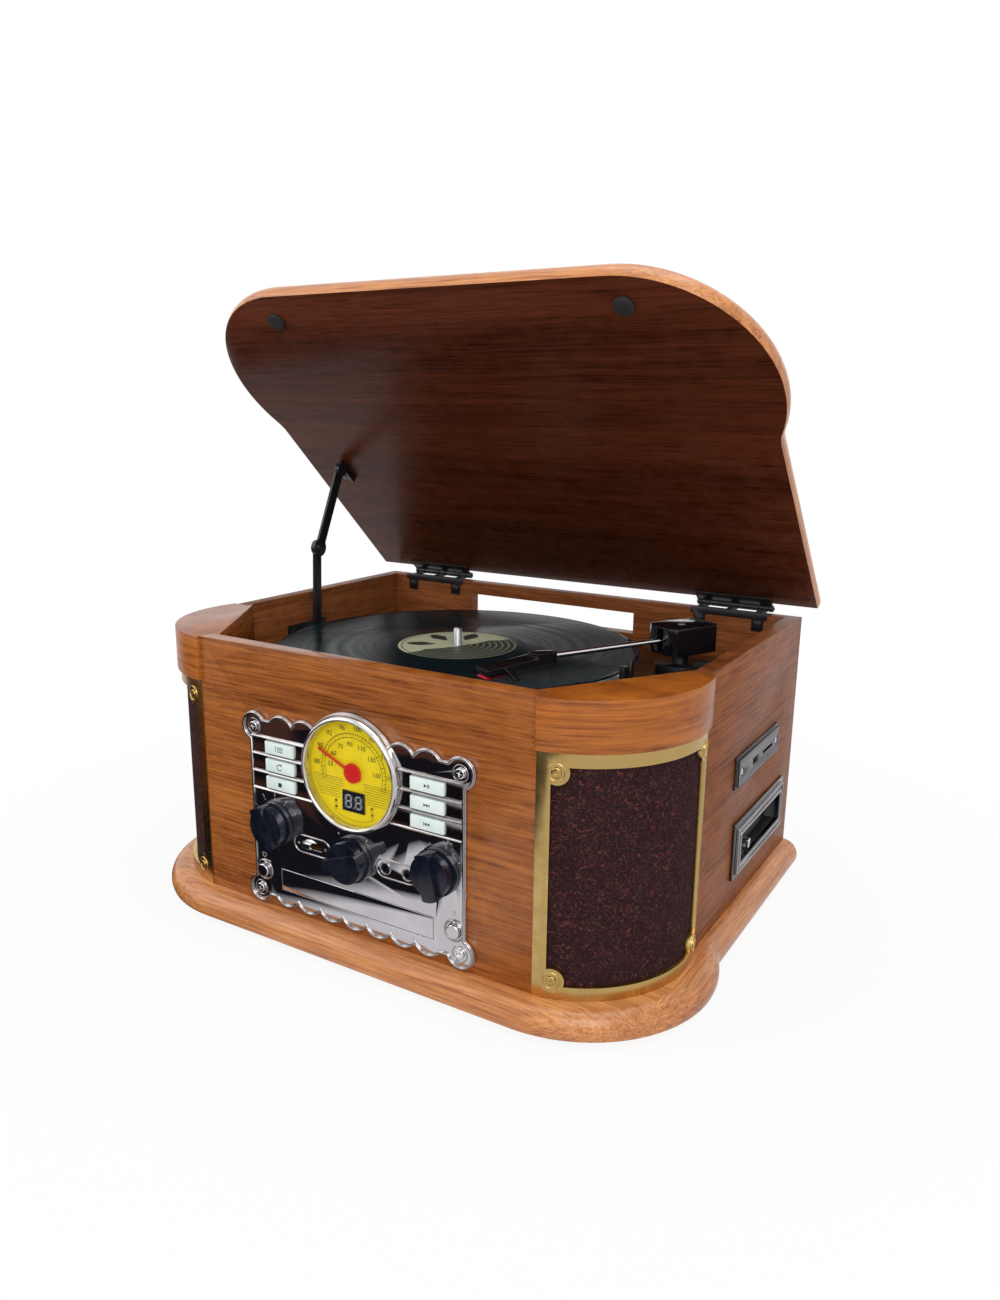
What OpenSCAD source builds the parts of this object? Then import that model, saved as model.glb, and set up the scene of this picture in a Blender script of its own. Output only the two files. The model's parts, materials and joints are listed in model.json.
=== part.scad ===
// Stereo music centre: a wooden case with a record deck under a hinged lid, a dial and CD tray in a
// scalloped front plate, speakers behind curved corner grilles, and a cassette slot in the side.
// Origin: centre of the case's plan, on the surface that the feet stand on. +X right, -Y front, +Z up.
// The lid is drawn open on its stay, as it stands when a record is played.

/* [Case] */
// Width of the case over its side panels
body_w = 430; // [424:1:560]
// Depth of the case from front panel to rear panel
body_d = 334; // [332:1:440]
// Height of the case walls, from the plinth to the rim
body_h = 202; // [196:1:270]
// Width of the flat front panel between the two corner bays
panel_w = 290; // [276:1:340]
// Thickness of the case walls
wall_t = 12; // [9:0.5:15]
// Height of the solid wooden cap over each corner grille
cap_h = 34; // [24:1:44]

/* [Corner bays] */
// Distance from the side face to the centre of the corner's curve
corner_in_x = 81; // [76:1:88]
// Distance from the front face to the centre of the corner's curve
corner_in_y = 84; // [82:1:88]
// Radius of the curved grille's outer face
grille_r = 85.5; // [84:0.5:88]
// How far the corner cap stands out past the grille
cap_proud = 2.5; // [1:0.5:4]
// Thickness of the brass grille frame
frame_t = 3.5; // [2.5:0.5:5]
// Width of the brass frame's bars
bar_w = 9.5; // [7:0.5:12]
// Radius of the round lug in each corner of the frame
lug_r = 8.5; // [6:0.5:10]
// Thickness of the speaker boards behind the grilles
baffle_t = 12; // [9:0.5:15]
// Radius of the hole in each speaker board
speaker_hole_r = 34; // [28:1:38]

/* [Plinth and lid] */
// Height of the rubber feet
foot_h = 5; // [3:0.5:10]
// Thickness of the plinth board
plinth_t = 18; // [15:1:24]
// Thickness of the lid board
lid_t = 18; // [15:1:24]
// Overhang of plinth and lid past the front panel
over_front = 17.5; // [14:0.5:20]
// Overhang of plinth and lid past the side panels
over_side = 13; // [10:1:16]
// Radius of the plinth's and the lid's rounded corner
board_r = 100; // [98:1:104]
// How far each rounded corner bulges past the straight side
lobe_out = 10; // [7:1:12]
// Radius of the hollow curve between the bulge and the straight side
hollow_r = 30; // [24:1:40]
// Gap between the rim and the closed lid
lid_gap = 4; // [3.5:0.5:6]
// Angle at which the stay holds the lid open
lid_open = 43.5; // [36:0.5:48]
// Distance of the hinge line behind the rear panel
hinge_back = 5; // [4.5:0.5:8]
// Length of each lid hinge
hinge_len = 68; // [60:1:90]
// Distance of each hinge's middle from the centre line
hinge_x = 155; // [140:1:165]

/* [Record deck] */
// Depth of the deck plate's surface below the rim
deck_drop = 42; // [41:1:60]
// Thickness of the deck plate
deck_t = 3; // [2:0.5:5]
// Sideways place of the spindle
spindle_x = -24; // [-30:1:-20]
// Radius of the spindle
spindle_r = 3.55; // [3:0.05:3.8]
// Radius of the record
record_r = 151; // [88:1:151]
// Thickness of the record
record_t = 1.7; // [1.2:0.1:2]
// Radius of the platter
platter_r = 98; // [90:1:110]
// Height of the platter
platter_h = 13.5; // [12:0.5:16]
// Sideways place of the tonearm's pivot
arm_x = 138; // [136:1:146]
// Front-to-back place of the tonearm's pivot
arm_y = 88; // [80:1:96]
// Distance from the tonearm's pivot to the needle
arm_len = 188; // [184:1:192]
// Direction of the tonearm, turned from +X, with the needle over the record
arm_turn = 242.7; // [236:0.1:250]
// Direction of the tonearm when it is parked on its rest
park_turn = 268; // [266:0.5:270]

/* [Front plate] */
// Width of the plate between its side edges
plate_w = 189.6; // [184:0.2:200]
// Height of the plate's top edge above the plinth
plate_top = 154; // [148:1:160]
// Thickness of the plate
plate_t = 2.5; // [1.5:0.5:4]
// Width of one scallop along the plate's edge
scallop_w = 21.4; // [20:0.2:22]
// Sideways distance of the corner screws from the centre line
plate_screw_x = 90.6; // [88:0.2:94]
// Height of the dial's centre above the plinth
dial_up = 123; // [120:1:128]
// Outer radius of the dial's bezel ring
bezel_r = 42.3; // [40:0.1:44]
// Width of a push button
button_w = 27.2; // [22:0.2:30]
// Height of a push button
button_h = 9.2; // [7:0.2:10.4]
// Sideways distance of the push buttons from the centre line
button_x = 65.2; // [64:0.2:68]
// Height step from one push button to the next
button_step = 13.5; // [12.5:0.5:15]
// Inward travel of a push button
button_travel = 1.5; // [1:0.25:2.5]
// Radius of a knob's round skirt
knob_r = 17; // [14:0.5:18]
// Sideways distance of the function and volume knobs from the centre line
knob_x = 73; // [70:0.5:76]
// Width of the CD tray's front
tray_w = 137.4; // [130:0.2:140]
// Height of the CD tray's front
tray_h = 16.6; // [14:0.2:18]

/* [Side panel] */
// Front-to-back place of the cassette slot's middle
cassette_y = 76; // [70:1:84]
// Width of the cassette slot's opening
slot_w = 104; // [103:1:108]
// Height of the cassette slot's opening
slot_h = 24; // [22:1:28]
// Front-to-back place of the middle of the USB and card plate
usb_y = 59.5; // [57:0.5:66]
// Width of the USB and card plate
usb_w = 105; // [90:1:110]

/* [Hidden] */

$fn = 64;
eps = 0.01;          // overlap that makes a cut run clean through
gap = 0.4;           // clearance round a piece that slides
fit = 0.06;          // running clearance of a pin or shaft in its hole

// Levels, from the ground up
base_z = foot_h + plinth_t;
rim_z = base_z + body_h;
cap_z = rim_z - cap_h;
deck_z = rim_z - deck_drop;
lid_z = rim_z + lid_gap;

// Faces and corners of the case in plan
front_y = -body_d / 2;
rear_y = body_d / 2;
side_x = body_w / 2;
panel_x = panel_w / 2;
corner_x = side_x - corner_in_x;
corner_y = front_y + corner_in_y;
side_front_y = front_y + 108;
frame_in_r = grille_r - frame_t;
cloth_t = 1.5;
cloth_slack = 0.1;
cloth_in_r = frame_in_r - cloth_t;
cap_r = grille_r + cap_proud;

// Plinth and lid: straight edges, centre of the rounded corner, centre of the hollow curve behind it
edge_x = side_x + over_side;
edge_y = front_y - over_front;
lobe_x = edge_x + lobe_out - board_r;
lobe_y = edge_y + board_r;
hollow_x = edge_x + hollow_r;
hollow_y = lobe_y + sqrt(pow(board_r + hollow_r, 2) - pow(hollow_x - lobe_x, 2));
edge_r = 13;
lid_rear_y = rear_y - 2;

// The inner chamfer wall, from the front panel to the side panel
chamfer_a = [panel_x - 8, front_y + wall_t];
chamfer_b = [side_x - wall_t, side_front_y + 6];
chamfer_turn = atan2(chamfer_b[1] - chamfer_a[1], chamfer_b[0] - chamfer_a[0]);
chamfer_len = norm(chamfer_b - chamfer_a);
baffle_mid = (chamfer_a + chamfer_b) / 2;
speaker_z = base_z + 84;
speaker_r = speaker_hole_r + 5.5;

// Angles, about the corner's centre, at which the grille's curve meets the two panels
grille_a0 = -acos((panel_x - corner_x) / grille_r);
grille_a1 = asin((side_front_y - corner_y) / grille_r);
bar_turn = bar_w / grille_r * 180 / PI;
grille_screw_in = 13;
grille_screw_turn = grille_screw_in / grille_r * 180 / PI;
grille_screw_r = 3.2;
grille_seat = 0.6;

// Hinge line of the lid, and the stay's pivots with the lid shut
hinge_y = rear_y + hinge_back;
hinge_z = rim_z + 3;
barrel_r = 3;
leaf_t = 1.5;
hinge_pin_r = 1.2;
hinge_finger_w = 8;
hinge_finger_step = 26;
hinge_slack = 0.3;

stay_x = -(side_x - wall_t - 14.1);       // plane between the two arms
stay_arm_t = 2.5;
stay_slack = 0.2;
stay_base = [rear_y - 152.5, deck_z + 8];
stay_lid_shut = [hinge_y - 164.5, rim_z - 2.75];
stay_fold_turn = 178.4;                   // direction of the lower arm with the lid shut
stay_pin_r = 2;
stay_eye_r = 6;

// Where a point fixed to the shut lid goes when the lid is open
function opened(p) =
    let (dy = p[0] - hinge_y, dz = p[1] - hinge_z)
    [hinge_y + dy * cos(lid_open) + dz * sin(lid_open), hinge_z - dy * sin(lid_open) + dz * cos(lid_open)];

stay_lid = opened(stay_lid_shut);
stay_span = norm(stay_lid - stay_base);
stay_lower_len = stay_span / 2 + 2;
stay_fold = stay_base + stay_lower_len * [cos(stay_fold_turn), sin(stay_fold_turn)];
stay_upper_len = norm(stay_lid_shut - stay_fold);
stay_span_turn = atan2(stay_lid[1] - stay_base[1], stay_lid[0] - stay_base[0]);
// Law of cosines: the lower arm leans forward of the line between its two end pivots
stay_lower_off = acos((pow(stay_lower_len, 2) + pow(stay_span, 2) - pow(stay_upper_len, 2))
    / (2 * stay_lower_len * stay_span));
stay_lower_turn = stay_span_turn + stay_lower_off;
stay_mid = stay_base + stay_lower_len * [cos(stay_lower_turn), sin(stay_lower_turn)];
stay_upper_turn = atan2(stay_mid[1] - stay_lid[1], stay_mid[0] - stay_lid[0]);

// Deck
flange_t = 2.5;
platter_z = deck_z + 1.5;
hub_z = deck_z + flange_t + 0.3;
mat_t = 2;
record_z = platter_z + platter_h + mat_t;
record_top = record_z + record_t;
hub_r = 42;
belt_t = 0.8;
belt_slack = 0.3;
belt_z = platter_z + 3.5;
belt_h = 5;
pulley_r = 6;
pulley_x = spindle_x - 75;
motor_shaft_r = 1;
swing_shaft_r = 4;
arm_z = record_top + 10.3;
tube_r = 2.3;
tube_len = 135;
lift_pin_r = 1.5;
head_len = 18;
head_tilt = 5;
cartridge_low = 3.5;
rest_run = 105;
rest_gap = 1.6;
cue_z = deck_z + 7;
cue_x = arm_x + 38;
switch_x = 168;
switch_y = -34;

// Front plate
plate_y = front_y - plate_t;
plate_side_x = plate_w / 2;
plate_low = 3;
corner_lobe_r = 11.5;
scallop_rise = 5.5;
scallop_r = (pow(scallop_w / 2, 2) + pow(scallop_rise, 2)) / (2 * scallop_rise);
dial_z = base_z + dial_up;
dial_hole_r = bezel_r - 3.8;
dial_face_r = bezel_r - 0.3;
display_z = dial_z - 21.5;
display_w = 20;
display_h = 15.2;
needle_turn = 156;
needle_len = 33;
button_top_z = base_z + 128.5;
function_z = base_z + 69.5;
tuning_z = base_z + 59.5;
shaft_r = 3;
knob_skirt_t = 3.5;
knob_h = 15;
socket_x = 38;
socket_z = base_z + 59.5;
socket_step = 19;
stadium_w = 30;
stadium_h = 12;
round_x = 86;
round_z = base_z + 29;
round_r = 5.2;
tray_z = base_z + 25.6;
tray_len = 146;
tray_body_w = tray_w - 2.2;
tray_body_h = 7;
disc_r = 60.3;
board_t = 1.6;
board_y = front_y + wall_t;
pot_h = 8;

// Side panel
slot_z = base_z + 46;
bezel_border = 11;
side_plate_t = 4;
flap_h = 14;
usb_z = base_z + 111;
usb_h = 25;
usb_plate_t = 3.5;
port_w = 12.6;
port_h = 5.4;
port_y = usb_y - 12;
card_w = 26;
card_y = usb_y + 20;

// Rear
window_x0 = -110;
window_x1 = 66;
window_top = rim_z - 12;
window_h = 19;
cover_w = 124;
cover_h = 56;
cover_z = base_z + 52;
inlet_x = -40;
inlet_w = 19;
inlet_h = 9;
line_x = 34;

WOOD = "#b8763c";
WOOD_LIGHT = "#c98d50";
BRASS = "#b9a86a";
CLOTH = "#4a3540";
CHROME = "#c9c9cc";
BLACK = "#18181b";
MINT = "#e6f2ec";
CREAM = "#e8df3c";
STEEL = "#9a9aa0";
GREEN = "#2f6b3c";

// ---------------------------------------------------------------- helpers

// A child and its mirror image on the other side of the centre line
module both_sides() {
    children();
    mirror([1, 0, 0]) children();
}

// A solid of plan outline, from height z0 up to z1
module rise(z0, z1) {
    translate([0, 0, z0]) linear_extrude(z1 - z0) children();
}

// A round bar along Y from y0 to y1
module bar_y(r, y0, y1) {
    translate([0, y1, 0]) rotate([90, 0, 0]) cylinder(r = r, h = y1 - y0);
}

// A round bar along X from x0 to x1
module bar_x(r, x0, x1) {
    translate([x0, 0, 0]) rotate([0, 90, 0]) cylinder(r = r, h = x1 - x0);
}

// A box centred on X and Z, from y0 to y1
module slab_y(w, h, y0, y1) {
    translate([-w / 2, y0, -h / 2]) cube([w, y1 - y0, h]);
}

// A slot with round ends, centred on X and Z, from y0 to y1
module stadium_y(w, h, y0, y1) {
    slab_y(w - h, h, y0, y1);
    for (side = [-1, 1]) translate([side * (w - h) / 2, 0, 0]) bar_y(h / 2, y0, y1);
}

// Things fixed to the lid are drawn with the lid shut, and swung open here
module lid_swing() {
    translate([0, hinge_y, hinge_z]) rotate([-lid_open, 0, 0])
        translate([0, -hinge_y, -hinge_z]) children();
}

// Places a child at the tonearm's pivot, with +X along the arm
module along_arm() {
    translate([arm_x, arm_y, 0]) rotate([0, 0, arm_turn]) children();
}

// ---------------------------------------------------------------- case

// Section of a board from the middle out to its edge, rounded on top and sharp below
module board_section(reach, t) {
    square([reach - edge_r, t]);
    intersection() {
        translate([reach - edge_r, t - edge_r]) circle(r = edge_r);
        square([reach + 1, t]);
    }
}

// The board under the case and the board of the lid share this outline and edge; rear is its straight back
module rounded_board(t, rear) {
    hollow_w = edge_r + 12;
    turn_mid = 2 * [hollow_x, hollow_y] - [lobe_x, lobe_y];
    translate([lobe_x, 0, 0]) rotate([90, 0, -90]) linear_extrude(2 * lobe_x) board_section(-edge_y, t);
    both_sides() {
        translate([0, rear, 0]) rotate([90, 0, 0]) linear_extrude(rear - hollow_y) board_section(edge_x, t);
        intersection() {
            translate([lobe_x, lobe_y, 0]) rotate_extrude($fn = 128) board_section(board_r, t);
            rise(-1, t + 1) polygon([
                [lobe_x, lobe_y], [lobe_x, edge_y - 50], [turn_mid[0], edge_y - 50], turn_mid
            ]);
        }
        intersection() {
            translate([hollow_x, hollow_y, 0]) rotate_extrude($fn = 128)
                translate([hollow_r + hollow_w, 0]) mirror([1, 0]) board_section(hollow_w, t);
            rise(-1, t + 1) polygon([[hollow_x, hollow_y], [lobe_x, lobe_y], [lobe_x, hollow_y]]);
        }
        rise(0, t) translate([lobe_x - 2, lobe_y - 2])
            square([edge_x - edge_r - 3 - lobe_x, hollow_y - lobe_y + 4]);
    }
}

module plinth() {
    color(WOOD) translate([0, 0, foot_h]) rounded_board(plinth_t, rear_y);
}

module feet() {
    color(BLACK)
        for (x = [-1, 1], y = [-0.76, 0.78])
            translate([x * (side_x - 55), y * rear_y, 0]) cylinder(r = 12, h = foot_h);
}

// Openings that the front panel and the front plate share; spare widens them
module front_holes(y0, y1, spare) {
    for (side = [-1, 1], i = [0:2])
        translate([side * button_x, 0, button_top_z - i * button_step])
            slab_y(button_w + 2 * spare, button_h + 2 * spare, y0, y1);
    for (p = [[-knob_x, function_z], [0, tuning_z], [knob_x, function_z]])
        translate([p[0], 0, p[1]]) bar_y(shaft_r + spare, y0, y1);
    for (side = [-1, 1])
        translate([side * round_x, 0, round_z]) bar_y(round_r + spare, y0, y1);
    for (side = [-1, 1])
        translate([socket_x + side * socket_step / 2, 0, socket_z]) bar_y(3.2 + spare, y0, y1);
    translate([0, 0, tray_z]) slab_y(tray_w + 2 * spare, tray_h + 2 * spare, y0, y1);
}

module front_panel() {
    color(WOOD) difference() {
        translate([-panel_x, front_y, base_z]) cube([panel_w, wall_t, body_h]);
        translate([0, 0, dial_z]) bar_y(bezel_r + 0.7, front_y - eps, front_y + wall_t + eps);
        front_holes(front_y - eps, front_y + wall_t + eps, 1);
        translate([-socket_x, 0, socket_z]) slab_y(20, 7, front_y - eps, front_y + wall_t + eps);
        for (x = [-1, 1], z = plate_screw_heights())
            translate([x * plate_screw_x, 0, z]) bar_y(1.9, front_y - eps, front_y + wall_t - 1);
    }
}

function plate_screw_heights() = [base_z + 13, base_z + 142];

module side_panel() {
    translate([side_x - wall_t, side_front_y, base_z]) cube([wall_t, rear_y - side_front_y, body_h]);
}

module side_panels() {
    color(WOOD) {
        mirror([1, 0, 0]) side_panel();
        difference() {
            side_panel();
            translate([side_x - wall_t - eps, cassette_y - slot_w / 2 - 3, slot_z - slot_h / 2 - 3])
                cube([wall_t + 2 * eps, slot_w + 6, slot_h + 6]);
            translate([side_x - wall_t - eps, port_y - 10, usb_z - 8]) cube([wall_t + 2 * eps, 62, 16]);
        }
    }
}

module rear_panel() {
    inner_x = side_x - wall_t;
    color(WOOD) difference() {
        translate([-inner_x, rear_y - wall_t, base_z]) cube([2 * inner_x, wall_t, body_h]);
        translate([window_x0, rear_y - wall_t - eps, window_top - window_h])
            cube([window_x1 - window_x0, wall_t + 2 * eps, window_h]);
        translate([inlet_x, 0, cover_z - 14]) slab_y(inlet_w + 5, inlet_h + 5, rear_y - wall_t - 1, rear_y + 1);
        translate([line_x, 0, cover_z - 14]) slab_y(44, 14, rear_y - wall_t - 1, rear_y + 1);
    }
}

module rear_cover() {
    y0 = rear_y;
    color(BLACK) difference() {
        union() {
            translate([0, 0, cover_z]) slab_y(cover_w, cover_h, y0, y0 + 3);
            translate([inlet_x, 0, cover_z - 14]) slab_y(inlet_w + 4, inlet_h + 4, y0 - 13, y0 + 3);
            for (dx = [-14, 0]) translate([line_x + dx, 0, cover_z - 14]) bar_y(4.2, y0 - 8, y0 + 12);
            translate([line_x + 16, 0, cover_z - 14]) bar_y(3.4, y0 - 8, y0 + 5);
        }
        translate([inlet_x, 0, cover_z - 14]) slab_y(inlet_w, inlet_h, y0 - 11, y0 + 4);
        for (dx = [-14, 0]) translate([line_x + dx, 0, cover_z - 14]) bar_y(1.6, y0 + 2, y0 + 13);
        translate([line_x + 16, 0, cover_z - 14]) bar_y(1.2, y0 - 9, y0 + 6);
        for (i = [-5:5]) translate([i * 9, 0, cover_z + 10]) slab_y(3, 24, y0 + 1, y0 + 4);
        for (x = [-1, 1], z = [-1, 1])
            translate([x * (cover_w / 2 - 5), 0, cover_z + z * (cover_h / 2 - 5)]) bar_y(1.7, y0 - 1, y0 + 4);
    }
}

// ---------------------------------------------------------------- corner bays

// Plan of a right-hand bay: outside the chamfer wall, clear of the front and side panels
module bay_plan(r) {
    intersection() {
        translate([corner_x, corner_y]) circle(r = r, $fn = 128);
        polygon([
            chamfer_a, [panel_x, chamfer_a[1]], [panel_x, front_y - 30], [side_x + 30, front_y - 30],
            [side_x + 30, side_front_y], [chamfer_b[0], side_front_y], chamfer_b
        ]);
    }
}

// A child drawn about the bay's centre, with +X pointing out at angle a and height z
module bay_out(a, z) {
    translate([corner_x, corner_y, z]) rotate([0, 0, a]) children();
}

// The four screw places of a right-hand grille: angle and height
function grille_screws() = [
    for (a = [grille_a0 + grille_screw_turn, grille_a1 - grille_screw_turn],
         z = [base_z + grille_screw_in, cap_z - grille_screw_in]) [a, z]
];

module corner_caps() {
    color(WOOD_LIGHT) both_sides() rise(cap_z, rim_z) bay_plan(cap_r);
}

module speaker_baffle() {
    difference() {
        rise(base_z, cap_z) intersection() {
            bay_plan(cloth_in_r - 0.5);
            translate(chamfer_a) rotate(chamfer_turn) translate([-30, -baffle_t])
                square([chamfer_len + 60, baffle_t]);
        }
        speaker_place() translate([0, 0, -1]) cylinder(r = speaker_hole_r, h = baffle_t + 2);
    }
}

// +Z points out through the speaker board, and z = 0 is its inner face
module speaker_place() {
    translate([baffle_mid[0], baffle_mid[1], speaker_z]) rotate([0, 90, chamfer_turn - 90]) children();
}

module speaker_baffles() {
    color(WOOD) both_sides() speaker_baffle();
}

module speakers() {
    r = speaker_hole_r;
    face = baffle_t;
    color(BLACK) both_sides() speaker_place() rotate_extrude() polygon([
        [0, -24], [r - 12, -24], [r - 12, -10], [r - 4, face - 5], [r - 0.5, face - 2], [r - 0.5, face],
        [speaker_r, face], [speaker_r, face + 2.5], [r - 1, face + 2.5], [14, face - 8], [12, face - 5],
        [6, face - 3.4], [0, face - 3]
    ]);
}

module grille_frame() {
    difference() {
        rise(base_z, cap_z) difference() {
            bay_plan(grille_r);
            translate([corner_x, corner_y]) circle(r = frame_in_r, $fn = 128);
        }
        difference() {
            rise(base_z + bar_w, cap_z - bar_w) translate([corner_x, corner_y]) polygon([
                [0, 0],
                for (a = [grille_a0 + bar_turn, (grille_a0 + grille_a1) / 2, grille_a1 - bar_turn])
                    2 * grille_r * [cos(a), sin(a)]
            ]);
            for (s = grille_screws()) bay_out(s[0], s[1]) bar_x(lug_r, grille_r / 2, grille_r + 10);
        }
        for (s = grille_screws()) bay_out(s[0], s[1]) {
            bar_x(grille_screw_r + 0.2, grille_r - grille_seat, grille_r + 10);
            bar_x(1.7, grille_r / 2, grille_r + 10);
        }
    }
}

module grille_frames() {
    color(BRASS) both_sides() grille_frame();
}

module grille_cloths() {
    color(CLOTH) both_sides() rise(base_z, cap_z) difference() {
        bay_plan(frame_in_r - cloth_slack);
        translate([corner_x, corner_y]) circle(r = cloth_in_r, $fn = 128);
    }
}

module case_screws() {
    color(BRASS) both_sides() for (s = grille_screws()) bay_out(s[0], s[1]) {
        bar_x(grille_screw_r, grille_r - grille_seat, grille_r + 0.9);
        bar_x(1.5, frame_in_r + 0.3, grille_r);
    }
    color(CHROME) for (x = [-1, 1], z = plate_screw_heights())
        translate([x * plate_screw_x, 0, z]) {
            bar_y(3.6, plate_y - 1.5, plate_y);
            bar_y(1.6, plate_y - 1, front_y + wall_t - 2);
        }
    color(BLACK) for (x = [-1, 1], z = [-1, 1])
        translate([x * (cover_w / 2 - 5), 0, cover_z + z * (cover_h / 2 - 5)])
            bar_y(3, rear_y + 3, rear_y + 4.6);
}

// ---------------------------------------------------------------- record deck

// A post stands under the parked arm, and a taller stop on the side away from the record
function rest_place() = [
    arm_x + rest_run * cos(park_turn), arm_y + rest_run * sin(park_turn)
];

module arm_rest() {
    cradle_z = arm_z - tube_r - 0.5;
    translate([rest_place()[0], rest_place()[1], 0]) {
        translate([0, 0, deck_z - eps]) cylinder(r = 3.4, h = cradle_z - deck_z);
        translate([0, 0, deck_z - eps]) cylinder(r = 5, h = 3);
        translate([tube_r + rest_gap + 2, 0, deck_z - eps]) cylinder(r = 2, h = cradle_z - deck_z + 6);
    }
}

module deck_plate() {
    color(BLACK) difference() {
        union() {
            rise(deck_z - deck_t, deck_z) polygon([
                chamfer_a, chamfer_b, [chamfer_b[0], rear_y - wall_t], [-chamfer_b[0], rear_y - wall_t],
                [-chamfer_b[0], chamfer_b[1]], [-chamfer_a[0], chamfer_a[1]]
            ]);
            arm_rest();
        }
        translate([spindle_x, 0, 0]) cylinder(r = spindle_r + fit, h = deck_z + 1);
        translate([pulley_x, 0, 0]) cylinder(r = pulley_r + 1, h = deck_z + 1);
        translate([arm_x, arm_y, 0]) cylinder(r = 7.2, h = deck_z + 1);
        translate([switch_x - 2, switch_y - 4, deck_z - deck_t - 1]) cube([4, 18, deck_t + 2]);
    }
}

module platter() {
    z0 = platter_z + 1;
    top = platter_z + platter_h;
    color(STEEL) translate([spindle_x, 0, 0]) rotate_extrude($fn = 128) polygon([
        [spindle_r + fit, hub_z], [8, hub_z], [8, top - 3], [hub_r - 3, top - 3], [hub_r - 3, z0 + 1.5],
        [hub_r, z0 + 1.5], [hub_r, top - 3], [platter_r - 3, top - 3], [platter_r - 3, z0],
        [platter_r, z0], [platter_r, top], [spindle_r + fit, top]
    ]);
}

module platter_mat() {
    color(BLACK) translate([spindle_x, 0, record_z - mat_t]) difference() {
        cylinder(r = platter_r - 2, h = mat_t, $fn = 128);
        translate([0, 0, -1]) cylinder(r = spindle_r + 0.3, h = mat_t + 2);
    }
}

module spindle() {
    color(CHROME) translate([spindle_x, 0, 0]) rotate_extrude() polygon([
        [0, deck_z - 14], [spindle_r, deck_z - 14], [spindle_r, deck_z], [9, deck_z],
        [9, deck_z + flange_t], [spindle_r, deck_z + flange_t], [spindle_r, record_top + 13],
        [spindle_r - 1.2, record_top + 15], [0, record_top + 15.4]
    ]);
}

// A band's outline round the hub and the motor pulley, at clearance c from both
module belt_outline(c) {
    hull() {
        translate([spindle_x, 0]) circle(r = hub_r + c, $fn = 48);
        translate([pulley_x, 0]) circle(r = pulley_r + c, $fn = 24);
    }
}

module drive_belt() {
    color(BLACK) rise(belt_z, belt_z + belt_h) difference() {
        belt_outline(belt_slack + belt_t);
        belt_outline(belt_slack);
    }
}

module turntable_motor() {
    color(STEEL) translate([pulley_x, 0, deck_z - deck_t - 22]) difference() {
        cylinder(r = 16, h = 22);
        translate([0, 0, 6]) cylinder(r = motor_shaft_r + fit, h = 20);
    }
}

module motor_pulley() {
    color(BRASS) translate([pulley_x, 0, 0]) {
        translate([0, 0, deck_z - deck_t - 14]) cylinder(r = motor_shaft_r, h = deck_t + 20);
        translate([0, 0, platter_z + 2]) cylinder(r = pulley_r, h = platter_h - 6);
    }
}

module vinyl_record() {
    color(BLACK) translate([spindle_x, 0, record_z]) rotate_extrude($fn = 180) polygon([
        [spindle_r + 0.15, 0], [record_r - 1, 0], [record_r, record_t / 2], [record_r - 1, record_t],
        [record_r - 4, record_t - 0.2], [52, record_t - 0.2], [51, record_t], [spindle_r + 0.15, record_t]
    ]);
}

// ---------------------------------------------------------------- tonearm

swing_top = arm_z - 11;

module tonearm_base() {
    color(BLACK) difference() {
        union() {
            translate([arm_x, arm_y, deck_z]) cylinder(r = 20, h = 8);
            translate([arm_x, arm_y, deck_z - 8]) cylinder(r = 7, h = swing_top - deck_z + 7.6);
            translate([arm_x + 14, arm_y - 6, deck_z]) cube([cue_x - arm_x - 18, 12, 12]);
        }
        translate([arm_x, arm_y, deck_z - 9]) cylinder(r = swing_shaft_r + fit, h = 60);
        translate([0, arm_y, cue_z]) bar_x(2 + fit, cue_x - 14, cue_x);
    }
}

module tonearm_housing() {
    top = rim_z - 1.5;
    color(BLACK) {
        difference() {
            union() {
                along_arm() intersection() {
                    translate([-27, -17, swing_top]) cube([50, 34, top - swing_top]);
                    translate([-2, 0, swing_top]) cylinder(r = 27, h = top - swing_top);
                }
                translate([arm_x, arm_y, deck_z - 6]) cylinder(r = swing_shaft_r, h = swing_top - deck_z + 7);
            }
            along_arm() {
                translate([-13, -tube_r - 1.4, swing_top + 1.5])
                    cube([60, 2 * tube_r + 2.8, top - swing_top - 3.2]);
                translate([0, 0, arm_z]) bar_x_side(lift_pin_r + fit, 10);
            }
        }
    }
}

// A round bar across the arm, reaching out by reach to each side
module bar_x_side(r, reach) {
    translate([0, reach, 0]) rotate([90, 0, 0]) cylinder(r = r, h = 2 * reach);
}

module tonearm_tube() {
    color(CHROME) along_arm() translate([0, 0, arm_z]) {
        bar_x(tube_r, -9, tube_len);
        bar_x_side(lift_pin_r, 9.6);
    }
}

// The headshell's own frame: +X along it, tilted down towards the record
module along_head() {
    along_arm() translate([tube_len + head_len - 8, 0, arm_z - 0.6]) rotate([0, head_tilt, 0]) children();
}

module headshell() {
    color(BLACK) {
        along_arm() difference() {
            translate([tube_len - 7, -6, arm_z - 4.5]) cube([head_len, 12, 8.5]);
            translate([0, 0, arm_z]) bar_x(tube_r + fit, 0, tube_len);
        }
        along_head() {
            translate([0, -8.5, -2.5]) cube([45, 17, 4.5]);
            translate([22, -8, -cartridge_low]) cube([21, 16, cartridge_low - 1]);
            translate([27, 7, 0]) rotate([-20, 0, 0]) cube([4, 16, 1.6]);
        }
    }
}

module stylus() {
    color("#d3203a") along_head() {
        translate([25, -6.5, -cartridge_low - 1.5]) cube([21, 13, 1.5]);
        translate([arm_len - tube_len - head_len + 8, 0, -cartridge_low - 1.9])
            cylinder(r1 = 0.3, r2 = 1.2, h = 0.5);
    }
}

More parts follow.
